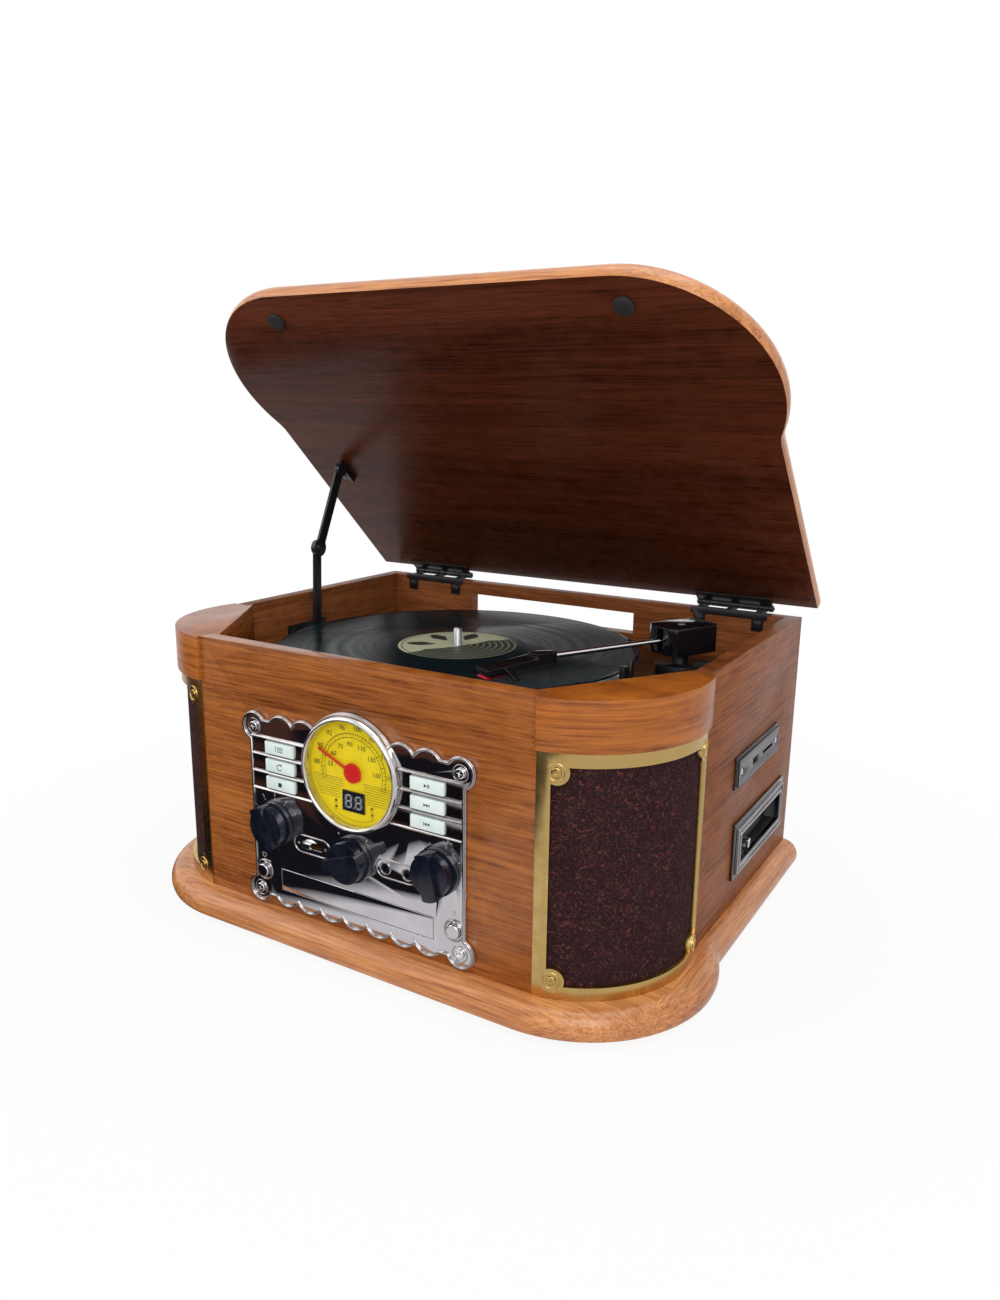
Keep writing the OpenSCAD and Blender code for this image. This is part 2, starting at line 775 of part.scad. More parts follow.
module cue_lever() {
    color(BLACK) {
        translate([0, arm_y, cue_z]) bar_x(2, cue_x - 13, cue_x + 2);
        translate([cue_x, arm_y, cue_z]) rotate([-20, 0, 0]) {
            translate([-0.5, -24, -1.5]) cube([3.5, 24, 3]);
            translate([-2, -30, -1.5]) cube([6.5, 8, 3]);
        }
    }
}

module speed_switch() {
    color(CHROME) {
        translate([switch_x - 4, switch_y - 3, deck_z + 0.3]) cube([8, 6, 4]);
        translate([switch_x - 1.6, switch_y - 2, deck_z - deck_t - 3]) cube([3.2, 4, deck_t + 3.5]);
    }
}

// ---------------------------------------------------------------- lid and its ironmongery

module lid() {
    color(WOOD) lid_swing() translate([0, 0, lid_z]) rounded_board(lid_t, lid_rear_y);
}

module lid_bumpers() {
    color(BLACK) lid_swing() both_sides()
        translate([panel_x + 2, front_y + 6, rim_z + 0.4]) cylinder(r = 7, h = lid_gap - 0.4);
}

// The middles of the body's fingers, and the gaps that the lid's fingers fill
function finger_places() = [-hinge_finger_step, 0, hinge_finger_step];

module lid_hinge_leaf() {
    half = hinge_len / 2;
    finger_half = hinge_finger_w / 2 + hinge_slack;
    edges = [-half, for (x = finger_places()) each [x - finger_half, x + finger_half], half];
    difference() {
        union() {
            translate([-half, rear_y - 10, lid_z - leaf_t]) cube([hinge_len, 10 + hinge_back - 4, leaf_t]);
            for (i = [0:2:len(edges) - 1]) {
                translate([edges[i], hinge_y, hinge_z]) bar_x(barrel_r, 0, edges[i + 1] - edges[i]);
                translate([edges[i], rear_y + hinge_back - 5, lid_z - leaf_t])
                    cube([edges[i + 1] - edges[i], 5, leaf_t]);
            }
        }
        translate([0, hinge_y, hinge_z]) bar_x(hinge_pin_r + fit, -half - 1, half + 1);
    }
}

module lid_hinge_leaves() {
    color(BLACK) lid_swing() for (side = [-1, 1]) translate([side * hinge_x, 0, 0]) lid_hinge_leaf();
}

module body_hinge_leaf() {
    half = hinge_len / 2;
    in_y = rear_y - wall_t - leaf_t;
    tab_w = hinge_finger_w - 2 * hinge_slack;
    translate([-half, in_y, rim_z - 4]) cube([hinge_len, leaf_t, 4.2 + leaf_t]);
    for (x = finger_places()) {
        translate([x - tab_w / 2, in_y, rim_z + 0.2]) cube([tab_w, hinge_y - in_y, leaf_t]);
        translate([x - tab_w / 2, hinge_y, hinge_z]) bar_x(barrel_r, 0, tab_w);
    }
    for (x = [-hinge_finger_step, hinge_finger_step]) {
        translate([x - 5, in_y, rim_z - 14]) cube([10, leaf_t, 12]);
        translate([x, in_y - 1.2, rim_z - 9]) rotate([-90, 0, 0]) cylinder(r = 3.2, h = 1.3);
    }
    translate([0, hinge_y, hinge_z]) bar_x(hinge_pin_r, -half - 1, half + 1);
}

module body_hinge_leaves() {
    color(BLACK) for (side = [-1, 1]) translate([side * hinge_x, 0, 0]) body_hinge_leaf();
}

lower_x = stay_x - stay_slack - stay_arm_t;
upper_x = stay_x + stay_slack;
wall_x = -(side_x - wall_t);

module stay_base_bracket() {
    lug_x = lower_x - stay_slack - 2;
    color(BLACK) {
        translate([wall_x, stay_base[0] - 26, deck_z + 1]) cube([2, 50, 14]);
        translate([wall_x, stay_base[0] - 5, deck_z + 1]) cube([lug_x - wall_x + 2, 10, 4]);
        translate([lug_x, stay_base[0] - 5, deck_z + 1]) cube([2, 10, 7]);
        translate([lug_x, stay_base[0], stay_base[1]]) {
            bar_x(5, 0, 2);
            bar_x(stay_pin_r, 0, 2 + stay_slack + stay_arm_t + 1);
        }
        for (dy = [-20, 18]) translate([wall_x + 1.5, stay_base[0] + dy, deck_z + 8]) bar_x(3.2, 0, 1.7);
    }
}

// A flat arm in the Y-Z plane from point p, turned by a, with an eye at each end
module stay_arm(p, a, length, x, end_r, w) {
    translate([x, p[0], p[1]]) rotate([a, 0, 0]) difference() {
        union() {
            bar_x(stay_eye_r, 0, stay_arm_t);
            translate([0, 0, -w / 2]) cube([stay_arm_t, length, w]);
            translate([0, length, 0]) bar_x(end_r, 0, stay_arm_t);
        }
        bar_x(stay_pin_r + fit, -1, stay_arm_t + 1);
    }
}

module stay_lower_arm() {
    color(BLACK) {
        stay_arm(stay_base, stay_lower_turn, stay_lower_len, lower_x, 7, 9);
        translate([lower_x, stay_mid[0], stay_mid[1]]) {
            bar_x(3.6, -2, 0.1);
            rotate([stay_lower_turn - 160, 0, 0]) translate([-1.8, -1.5, 2]) cube([2, 3, 7]);
        }
    }
}

module stay_upper_arm() {
    color(BLACK) {
        stay_arm(stay_lid, stay_upper_turn, stay_upper_len, upper_x, 8, 10);
        translate([upper_x + stay_arm_t, stay_mid[0], stay_mid[1]]) bar_x(4, -0.1, 1.4);
    }
}

module stay_lid_bracket() {
    lug_x = upper_x + stay_arm_t + stay_slack;
    pivot_y = stay_lid_shut[0];
    color(BLACK) lid_swing() {
        translate([lug_x, pivot_y - 6, lid_z - 5]) cube([2, 26, 5]);
        translate([lug_x - 11, pivot_y + 8.5, lid_z - 2]) cube([12, 11.5, 2]);
        translate([lug_x, pivot_y, stay_lid_shut[1]]) {
            bar_x(stay_eye_r, 0, 2);
            bar_x(stay_pin_r, -stay_slack - stay_arm_t - 1, 2);
        }
        translate([lug_x - 5.5, pivot_y + 14, lid_z - 3.2]) cylinder(r = 3, h = 1.3);
    }
}

// ---------------------------------------------------------------- front plate and controls

// Outline of the plate in X and height above the plinth
module plate_outline() {
    low = plate_low + scallop_rise;
    high = plate_top - scallop_rise;
    translate([-plate_side_x, low]) square([plate_w, high - low]);
    for (i = [-3:3]) translate([i * scallop_w, plate_low + scallop_r]) circle(r = scallop_r);
    for (side = [-1, 1]) {
        for (i = [2:3]) translate([side * i * scallop_w, plate_top - scallop_r]) circle(r = scallop_r);
        for (z = plate_screw_heights())
            translate([side * plate_screw_x, z - base_z]) circle(r = corner_lobe_r);
    }
    translate([0, dial_up]) circle(r = bezel_r + 1.5);
}

module faceplate() {
    color(CHROME) difference() {
        translate([0, front_y, base_z]) rotate([90, 0, 0]) linear_extrude(plate_t) plate_outline();
        front_holes(plate_y - 1, front_y + 1, gap);
        translate([-socket_x, 0, socket_z]) slab_y(18, 5, plate_y - 1, front_y + 1);
        translate([0, 0, dial_z]) bar_y(dial_hole_r, plate_y - 1, front_y + 1);
        for (x = [-1, 1], z = plate_screw_heights())
            translate([x * plate_screw_x, 0, z]) bar_y(1.9, plate_y - 1, front_y + 1);
    }
}

module dial_bezel() {
    r0 = dial_hole_r - 0.5;
    color(CHROME) translate([0, plate_y, dial_z]) rotate([90, 0, 0]) rotate_extrude($fn = 96) polygon([
        [r0, 0], [bezel_r, 0], [bezel_r, 3.2], [bezel_r - 1, 5], [bezel_r - 2.4, 5.8],
        [bezel_r - 3.6, 5], [r0, 2.6]
    ]);
}

module dial_face() {
    color(CREAM) difference() {
        translate([0, 0, dial_z]) bar_y(dial_face_r, front_y, front_y + 1.5);
        translate([0, 0, dial_z]) bar_y(1.5 + fit, front_y - 1, front_y + 2);
        translate([0, 0, display_z]) slab_y(display_w + 0.4, display_h + 0.4, front_y - 1, front_y + 2);
    }
}

module dial_lens() {
    color("#dfe9f2") translate([0, 0, dial_z]) bar_y(dial_hole_r - 0.6, plate_y - 2.5, plate_y - 1);
}

module dial_pointer() {
    hub_y = front_y - 0.4;
    color("#d8302a") {
        translate([0, 0, dial_z]) {
            bar_y(7.2, hub_y - 1.6, hub_y);
            rotate([0, -needle_turn, 0]) translate([-8, hub_y - 1.4, -1]) cube([needle_len + 8, 0.9, 2]);
        }
        translate([0, 0, dial_z]) bar_y(1.5, hub_y - 1, board_y + 1);
        translate([0, 0, dial_z]) bar_y(11, front_y + 2, front_y + 6);
    }
}

// A knob with a round skirt and a bar grip across it, on a shaft; turn leans the grip
module knob(x, z, turn) {
    y0 = plate_y - 0.4;
    color(BLACK) translate([x, 0, z]) {
        bar_y(knob_r, y0 - knob_skirt_t, y0);
        bar_y(knob_r - 2, y0 - knob_h + 4, y0 - knob_skirt_t + 0.1);
        rotate([0, turn, 0]) intersection() {
            bar_y(knob_r - 0.5, y0 - knob_h, y0 - knob_skirt_t);
            slab_y(11, 2 * knob_r, y0 - knob_h - 1, y0);
        }
        bar_y(shaft_r, y0 - 1, board_y + board_t + pot_h - 1);
    }
}

module function_knob() {
    knob(-knob_x, function_z, -22);
}

module tuning_knob() {
    knob(0, tuning_z, 70);
}

module volume_knob() {
    knob(knob_x, function_z, -12);
}

module band_switch() {
    color(CHROME) translate([-socket_x - 4, 0, socket_z]) {
        slab_y(8, 4.2, plate_y - 2.5, front_y + 1);
        slab_y(4, 3, front_y, board_y - 0.3);
    }
}

// One of the six flat push buttons; side -1 is left, row 0 is the top one
module push_button(side, row) {
    color(MINT) translate([side * button_x, 0, button_top_z - row * button_step]) {
        slab_y(button_w, button_h, plate_y - 2, front_y + 2);
        slab_y(10, 5, front_y, board_y - button_travel - 0.3);
    }
}

module program_button() {
    push_button(-1, 0);
}

module repeat_button() {
    push_button(-1, 1);
}

module stop_button() {
    push_button(-1, 2);
}

module play_button() {
    push_button(1, 0);
}

module next_button() {
    push_button(1, 1);
}

module previous_button() {
    push_button(1, 2);
}

module round_button(side) {
    color(CHROME) translate([side * round_x, 0, round_z])
        bar_y(round_r, plate_y - 3, board_y - button_travel - 0.3);
}

module power_button() {
    round_button(-1);
}

module open_close_button() {
    round_button(1);
}

module electronics() {
    pots = [[-knob_x, function_z], [0, tuning_z], [knob_x, function_z]];
    // Front board, screwed flat to the back of the front panel, with its controls
    color(GREEN) difference() {
        union() {
            translate([-100, board_y, base_z + 16])
                cube([200, board_t, deck_z - deck_t - 3 - base_z - 16]);
            for (p = pots) translate([p[0], 0, p[1]]) bar_y(9, board_y, board_y + board_t + pot_h);
        }
        for (p = pots) translate([p[0], 0, p[1]]) bar_y(shaft_r + fit, board_y - 1, board_y + 20);
        translate([0, 0, dial_z]) bar_y(1.5 + fit, board_y - 1, board_y + 5);
        translate([0, 0, tray_z]) slab_y(tray_w + 12, tray_h + 12, board_y - 1, board_y + 5);
    }
    color(BLACK) {
        translate([0, 0, display_z]) slab_y(display_w, display_h, front_y - 0.5, board_y);
        for (side = [-1, 1]) translate([socket_x + side * socket_step / 2, 0, socket_z]) difference() {
            bar_y(3.2, plate_y - 0.4, board_y);
            bar_y(1.75, plate_y - 1, board_y - 2);
        }
    }
    // Main board on its pillars
    color(GREEN) translate([10, 55, base_z]) {
        translate([0, 0, 10]) cube([110, 80, board_t]);
        for (x = [8, 102], y = [8, 72]) translate([x, y, 0]) cylinder(r = 3.5, h = 10);
        translate([12, 20, 10 + board_t]) cube([30, 26, 14]);
        for (i = [0:2]) translate([60 + 16 * i, 30, 10 + board_t]) cylinder(r = 6, h = 20);
    }
    // Mains transformer
    color(STEEL) {
        translate([-165, 70, base_z]) cube([62, 50, 4]);
        translate([-160, 73, base_z + 4]) cube([52, 44, 42]);
    }
}

module cd_tray() {
    top = tray_z + 1;
    color(BLACK) difference() {
        union() {
            translate([0, 0, tray_z]) slab_y(tray_w, tray_h, plate_y, front_y + 1);
            translate([-tray_body_w / 2, front_y, top - tray_body_h]) cube([tray_body_w, tray_len, tray_body_h]);
        }
        translate([0, front_y + 8 + disc_r, top - 3]) cylinder(r = disc_r, h = 5, $fn = 96);
    }
}

module cd_mechanism() {
    in_w = tray_body_w + 2 * gap;
    low = tray_z + 1 - tray_body_h - gap;
    color(BLACK) difference() {
        union() {
            translate([-in_w / 2 - 3, board_y + board_t, low - 3]) cube([in_w + 6, tray_len + 10, 26]);
            for (x = [-1, 1], y = [14, tray_len - 8])
                translate([x * (in_w / 2 - 8), board_y + y, base_z]) cylinder(r = 5, h = low - base_z - 2.9);
        }
        translate([-in_w / 2, board_y, low]) cube([in_w, tray_len + 4, 19]);
    }
}

// ---------------------------------------------------------------- cassette and USB side

module cassette_bezel() {
    outer_w = slot_w + 2 * bezel_border;
    outer_h = slot_h + 2 * bezel_border;
    color(CHROME) translate([side_x, cassette_y, slot_z]) difference() {
        union() {
            translate([0, -outer_w / 2, -outer_h / 2]) cube([side_plate_t - 1.5, outer_w, outer_h]);
            translate([0, -outer_w / 2 + 4, -outer_h / 2 + 4]) cube([side_plate_t, outer_w - 8, outer_h - 8]);
        }
        translate([-1, -slot_w / 2, -slot_h / 2]) cube([side_plate_t + 2, slot_w, slot_h]);
    }
}

// The slot itself is a sleeve of thin walls through the side panel, open outwards
module cassette_mechanism() {
    deep = 74;
    x0 = side_x - deep;
    step_z = slot_z + slot_h / 2 - flap_h - 1;
    color(BLACK) difference() {
        union() {
            translate([side_x - wall_t - eps, cassette_y - slot_w / 2 - 2, slot_z - slot_h / 2 - 2])
                cube([wall_t, slot_w + 4, slot_h + 4]);
            translate([x0 - 2, cassette_y - slot_w / 2 - 8, base_z])
                cube([deep - wall_t + 2, slot_w + 16, slot_z + slot_h / 2 + 6 - base_z]);
        }
        translate([x0, cassette_y - slot_w / 2, step_z]) cube([deep + 1, slot_w, flap_h + 1]);
        translate([side_x - 8, cassette_y - slot_w / 2, slot_z - slot_h / 2]) cube([9, slot_w, slot_h]);
        translate([side_x - 30, button_y() - 3, slot_z - slot_h / 2 + 1]) cube([31, 6, 8]);
        translate([side_x - 6, cassette_y - slot_w / 2 - 1.5, flap_pin_z()]) rotate([-90, 0, 0])
            cylinder(r = 1 + fit, h = slot_w + 3);
    }
}

function button_y() = cassette_y - slot_w / 2 + 30;
function flap_pin_z() = slot_z + slot_h / 2 - 1.6;

module cassette_flap() {
    pin_z = flap_pin_z();
    color(BLACK) {
        translate([side_x - 6.8, cassette_y - slot_w / 2 + gap, pin_z - flap_h + 2.2])
            cube([1.6, slot_w - 2 * gap, flap_h - 2.2]);
        translate([side_x - 6, cassette_y - slot_w / 2 - 1.2, pin_z]) rotate([-90, 0, 0])
            cylinder(r = 1, h = slot_w + 2.4);
    }
}

module cassette_button() {
    color(CHROME) translate([side_x - 22, button_y() - 3 + gap, slot_z - slot_h / 2 + 1 + gap])
        cube([24, 6 - 2 * gap, 8 - 2 * gap]);
}

module usb_plate() {
    color(CHROME) difference() {
        union() {
            translate([side_x, usb_y - usb_w / 2, usb_z - usb_h / 2]) cube([1.5, usb_w, usb_h]);
            translate([side_x, usb_y - usb_w / 2 + 2, usb_z - usb_h / 2 + 2])
                cube([usb_plate_t, usb_w - 4, usb_h - 4]);
            translate([side_x - 11, port_y - port_w / 2 - 1.5, usb_z - port_h / 2 - 1.5])
                cube([12, port_w + 3, port_h + 3]);
        }
        translate([side_x - 9, port_y - port_w / 2, usb_z - port_h / 2]) cube([20, port_w, port_h]);
        translate([side_x - 1, card_y - card_w / 2, usb_z - 1.3]) cube([10, card_w, 2.6]);
        for (side = [-1, 1])
            translate([side_x + usb_plate_t - 0.8, usb_y + side * (usb_w / 2 - 9), usb_z])
                rotate([0, 90, 0]) cylinder(r = 3.2, h = 3);
    }
}

plinth();
feet();
front_panel();
side_panels();
rear_panel();
rear_cover();
corner_caps();
speaker_baffles();
speakers();
grille_frames();
grille_cloths();
case_screws();
deck_plate();
platter();
platter_mat();
spindle();
drive_belt();
turntable_motor();
motor_pulley();
vinyl_record();
tonearm_base();
tonearm_housing();
tonearm_tube();
headshell();
stylus();
cue_lever();
speed_switch();
lid();
lid_bumpers();
lid_hinge_leaves();
body_hinge_leaves();
stay_base_bracket();
stay_lower_arm();
stay_upper_arm();
stay_lid_bracket();
faceplate();
dial_bezel();
dial_face();
dial_lens();
dial_pointer();
function_knob();
tuning_knob();
volume_knob();
band_switch();
program_button();
repeat_button();
stop_button();
play_button();
next_button();
previous_button();
power_button();
open_close_button();
electronics();
cd_tray();
cd_mechanism();
cassette_bezel();
cassette_flap();
cassette_mechanism();
cassette_button();
usb_plate();
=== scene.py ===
"""Looks of a wooden stereo music centre: record deck, radio dial, disc tray and cassette side."""

import json
import logging
import math
from contextlib import contextmanager
from dataclasses import dataclass, field, replace
from enum import Enum
from typing import Callable, Iterator, Sequence

import bmesh
import bpy
from mathutils import Matrix, Vector

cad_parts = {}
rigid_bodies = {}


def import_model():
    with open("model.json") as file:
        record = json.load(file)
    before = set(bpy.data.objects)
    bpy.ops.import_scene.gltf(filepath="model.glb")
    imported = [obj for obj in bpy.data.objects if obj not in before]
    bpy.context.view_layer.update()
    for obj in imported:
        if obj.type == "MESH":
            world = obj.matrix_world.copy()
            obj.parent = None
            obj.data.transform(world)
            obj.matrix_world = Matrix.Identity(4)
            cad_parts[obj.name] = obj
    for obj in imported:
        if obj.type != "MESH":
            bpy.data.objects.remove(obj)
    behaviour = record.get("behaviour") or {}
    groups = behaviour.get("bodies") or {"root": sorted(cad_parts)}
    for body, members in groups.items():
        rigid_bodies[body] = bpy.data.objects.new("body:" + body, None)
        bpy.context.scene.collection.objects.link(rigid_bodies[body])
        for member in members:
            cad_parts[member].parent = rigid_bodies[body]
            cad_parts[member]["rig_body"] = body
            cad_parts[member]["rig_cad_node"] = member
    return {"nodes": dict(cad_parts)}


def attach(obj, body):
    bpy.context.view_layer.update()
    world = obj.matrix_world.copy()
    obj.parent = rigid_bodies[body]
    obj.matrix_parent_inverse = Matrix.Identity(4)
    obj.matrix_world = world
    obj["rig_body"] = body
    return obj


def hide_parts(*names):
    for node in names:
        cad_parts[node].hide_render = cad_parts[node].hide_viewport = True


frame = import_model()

LOG = logging.getLogger("music_centre")
Colour = tuple[float, float, float]
Point = tuple[float, float, float]
Socket = bpy.types.NodeSocket
MM = 0.001
TAU = 2 * math.pi
X, Y, Z = (1, 0, 0), (0, 1, 0), (0, 0, 1)
FORWARD = Vector((0, -1, 0))
DOUBLES = 0.000002
CAD_DOUBLES = 0.000004


# ---------------------------------------------------------------- shader nodes


class Effect(Enum):
    """The shader node groups that more than one finish uses."""

    GRAIN = "wood_grain"
    SPECKLE = "fine_speckle"
    SMUDGE = "handling_smudge"
    WEAR = "rubbed_edge"


class Net:
    """One shader tree, with a short call for each kind of node that the looks need."""

    def __init__(self, tree: bpy.types.NodeTree) -> None:
        """Works on this tree."""
        self.tree = tree

    def fill(self, node: bpy.types.Node, inputs: dict) -> bpy.types.Node:
        """Fills a node's inputs.

        Args:
            node: the node whose inputs are filled.
            inputs: value or source socket for each named or numbered input.

        Returns:
            The same node.
        """
        for key, value in inputs.items():
            socket = node.inputs[key]
            if isinstance(value, Socket):
                self.tree.links.new(value, socket)
            else:
                opaque = socket.type == "RGBA" and len(value) == 3
                socket.default_value = (*value, 1.0) if opaque else value
        return node

    def add(self, kind: str, inputs: dict | None = None, **settings) -> bpy.types.Node:
        """Adds a node.

        Args:
            kind: Blender's node type without the ShaderNode prefix.
            inputs: what fills its inputs.
            settings: attributes of the node itself.

        Returns:
            The new node.
        """
        node = self.tree.nodes.new("ShaderNode" + kind)
        for name, value in settings.items():
            setattr(node, name, value)
        return self.fill(node, inputs or {})

    def calc(self, operation: str, *values) -> Socket:
        """The result of a Math node on these values or sockets."""
        return self.add("Math", dict(enumerate(values)), operation=operation).outputs[0]

    def times(self, a, b) -> Socket:
        """The product of two values."""
        return self.calc("MULTIPLY", a, b)

    def gap(self, value: Socket, middle: float) -> Socket:
        """How far a value is from middle."""
        return self.calc("ABSOLUTE", self.calc("SUBTRACT", value, middle))

    def span(self, value, low: float, high: float, out_low=0.0, out_high=1.0) -> Socket:
        """Takes low..high to out_low..out_high, and clamps what lies outside."""
        return self.add("MapRange", {"Value": value, 1: low, 2: high, 3: out_low, 4: out_high}).outputs[0]

    def mix(self, factor, a, b, blend: str = "MIX") -> Socket:
        """The colours a and b, mixed by factor."""
        inputs = {"Factor": factor, 6: a, 7: b}
        return self.add("Mix", inputs, data_type="RGBA", blend_type=blend).outputs[2]

    def noise(self, vector: Socket, scale, detail: float = 2.0, **inputs) -> Socket:
        """Noise about one half."""
        node = self.add("TexNoise", {"Vector": vector, "Scale": scale, "Detail": detail, **inputs})
        return node.outputs["Fac"]

    def vector(self, operation: str, *values, output: str = "Vector") -> Socket:
        """The result of a Vector Math node on these values or sockets."""
        return self.add("VectorMath", dict(enumerate(values)), operation=operation).outputs[output]

    def scaled(self, vector: Socket, scale: Point) -> Socket:
        """The vector, stretched along each axis."""
        return self.add("Mapping", {"Vector": vector, "Scale": scale}).outputs[0]

    def parts(self, vector: Socket) -> tuple[Socket, Socket]:
        """The vector's X and Y."""
        node = self.add("SeparateXYZ", {0: vector})
        return node.outputs["X"], node.outputs["Y"]

    def about(self, vector: Socket, centre: Point) -> tuple[Socket, Socket]:
        """The vector from centre, and how long it is seen from above."""
        local = self.vector("SUBTRACT", vector, centre)
        return local, self.vector("LENGTH", self.vector("MULTIPLY", local, (1.0, 1.0, 0.0)), output="Value")

    def place(self, effect: Effect, **inputs) -> bpy.types.bpy_prop_collection:
        """Places a shared group, and returns its outputs."""
        node = self.tree.nodes.new("ShaderNodeGroup")
        node.node_tree = EFFECTS.groups[effect]
        return self.fill(node, inputs).outputs

    def handled(self, vector: Socket, roughness: float, spread: float) -> bpy.types.bpy_prop_collection:
        """Smudges that raise the roughness by up to spread."""
        return self.place(Effect.SMUDGE, Vector=vector, Low=roughness, High=roughness + spread)

    def rubbed(self, vector: Socket, body: Socket, bright: Colour, share: float = 1.0) -> Socket:
        """The body's colour, with a share of a brighter one on rubbed edges."""
        return self.mix(self.times(self.place(Effect.WEAR, Vector=vector)["Mask"], share), body, bright)

    def bump(self, shader: bpy.types.Node, height: Socket, depth: float, strength: float) -> None:
        """Feeds the shader's normal from a height.

        Args:
            shader: the shader that gets the normal.
            height: the height's source.
            depth: what a height of one is, in metres.
            strength: share of the effect.
        """
        node = self.add("Bump", {"Height": height, "Distance": depth, "Strength": strength})
        self.fill(shader, {"Normal": node.outputs["Normal"]})


class EffectLibrary:
    """Builds each shared node group once."""

    def __init__(self) -> None:
        """Builds all the groups."""
        self.groups: dict[Effect, bpy.types.NodeTree] = {
            Effect.GRAIN: self.grain(),
            Effect.SPECKLE: self.speckle(),
            Effect.SMUDGE: self.smudge(),
            Effect.WEAR: self.wear(),
        }

    @staticmethod
    def start(effect: Effect, inputs: dict[str, str], outputs: dict[str, str]) -> tuple:
        """Starts a group that takes a vector.

        Args:
            effect: which group it is.
            inputs: socket type of each further input.
            outputs: socket type of each output.

        Returns:
            The group's net, the outputs of its input node, and its output node.
        """
        tree = bpy.data.node_groups.new(effect.value, "ShaderNodeTree")
        for way, sockets in (("INPUT", {"Vector": "Vector", **inputs}), ("OUTPUT", outputs)):
            for label, kind in sockets.items():
                tree.interface.new_socket(label, in_out=way, socket_type="NodeSocket" + kind)
        return Net(tree), tree.nodes.new("NodeGroupInput").outputs, tree.nodes.new("NodeGroupOutput")

    def grain(self) -> bpy.types.NodeTree:
        """Long wood grain: arched figure, fine fibres and short dark pores."""
        inputs = {"Dark": "Color", "Light": "Color", "Figure": "Float"}
        net, given, made = self.start(Effect.GRAIN, inputs, {"Color": "Color", "Height": "Float"})
        drift = net.add("TexNoise", {"Vector": given["Vector"], "Scale": 9.0, "Detail": 2.0})
        bent = net.vector("MULTIPLY", drift.outputs["Color"], (0.02, 0.02, 0.035))
        moved = net.vector("ADD", given["Vector"], bent)
        broad = net.noise(moved, 30.0, 3.0, Roughness=0.55)
        rings = net.calc("SINE", net.times(broad, 46.0))
        figure = net.span(net.calc("MULTIPLY_ADD", rings, 0.07, broad), 0.33, 0.67)
        thread = net.span(net.noise(moved, 560.0, 4.0, Roughness=0.7), 0.36, 0.64)
        pores = net.span(net.noise(moved, 760.0, 1.0), 0.58, 0.70)
        share = given["Figure"]
        rest = net.times(thread, net.calc("SUBTRACT", 1.0, share))
        both = net.calc("ADD", net.times(figure, share), rest)
        base = net.mix(both, given["Dark"], given["Light"])
        dark = net.mix(net.times(pores, 0.45), base, given["Dark"], "MULTIPLY")
        net.fill(made, {"Color": dark, "Height": net.calc("SUBTRACT", thread, pores)})
        return net.tree

    def speckle(self) -> bpy.types.NodeTree:
        """Fine moulded or cast texture, as a value about one half."""
        net, given, made = self.start(Effect.SPECKLE, {"Scale": "Float"}, {"Value": "Float"})
        net.fill(made, {"Value": net.noise(given["Vector"], given["Scale"])})
        return net.tree

    def smudge(self) -> bpy.types.NodeTree:
        """Faint patches and fine wipe marks left by hands and cloths."""
        sockets = {"Low": "Float", "High": "Float"}
        net, given, made = self.start(Effect.SMUDGE, sockets, {"Roughness": "Float", "Mask": "Float"})
        patch = net.noise(given["Vector"], 26.0, 5.0, Roughness=0.65)
        lines = {"Vector": given["Vector"], "Rotation": (0.3, 0.4, 0.6), "Scale": (60.0, 900.0, 500.0)}
        wipes = net.noise(net.add("Mapping", lines).outputs[0], 1.0)
        mask = net.span(net.calc("MULTIPLY_ADD", wipes, 0.25, patch), 0.5, 0.85)
        net.fill(made, {"Roughness": net.span(mask, 0.0, 1.0, given["Low"], given["High"]), "Mask": mask})
        return net.tree

    def wear(self) -> bpy.types.NodeTree:
        """Edges that handling has rubbed, from the curve of the surface."""
        net, given, made = self.start(Effect.WEAR, {}, {"Mask": "Float"})
        point = net.add("NewGeometry").outputs["Pointiness"]
        broken = net.span(net.noise(given["Vector"], 90.0, 4.0), 0.42, 0.6)
        net.fill(made, {"Mask": net.times(net.span(point, 0.52, 0.62), broken)})
        return net.tree


EFFECTS = EffectLibrary()


# ---------------------------------------------------------------- finishes


def toned(colour: Colour, share: float, lift: float = 0.0) -> Colour:
    """A darker or lighter tone of a colour."""
    return tuple(min(c * share + lift, 1.0) for c in colour)


@dataclass(frozen=True)
class Finish:
    """A surface finish with a Principled shader. Subclasses paint it."""

    name: str
    slot: str

    def build(self) -> bpy.types.Material:
        """Makes the material, or returns the one made before."""
        title = self.name + "_finish"
        material = bpy.data.materials.get(title)
        if material is None:
            material = bpy.data.materials.new(title)
            material.use_nodes = True
            net = Net(material.node_tree)
            shader = material.node_tree.nodes["Principled BSDF"]
            self.paint(net, shader, net.add("TexCoord").outputs["Object"])
        return material

    def paint(self, net: Net, shader: bpy.types.Node, vector: Socket) -> None:
        """Adds this finish's nodes.

        Args:
            net: the material's nodes.
            shader: its Principled shader.
            vector: the place on the piece, in metres.
        """
        raise NotImplementedError


LEVEL, ALONG_X, ALONG_Y = (0.035, 0.035, 1.0), (0.035, 1.0, 1.0), (1.0, 0.035, 1.0)


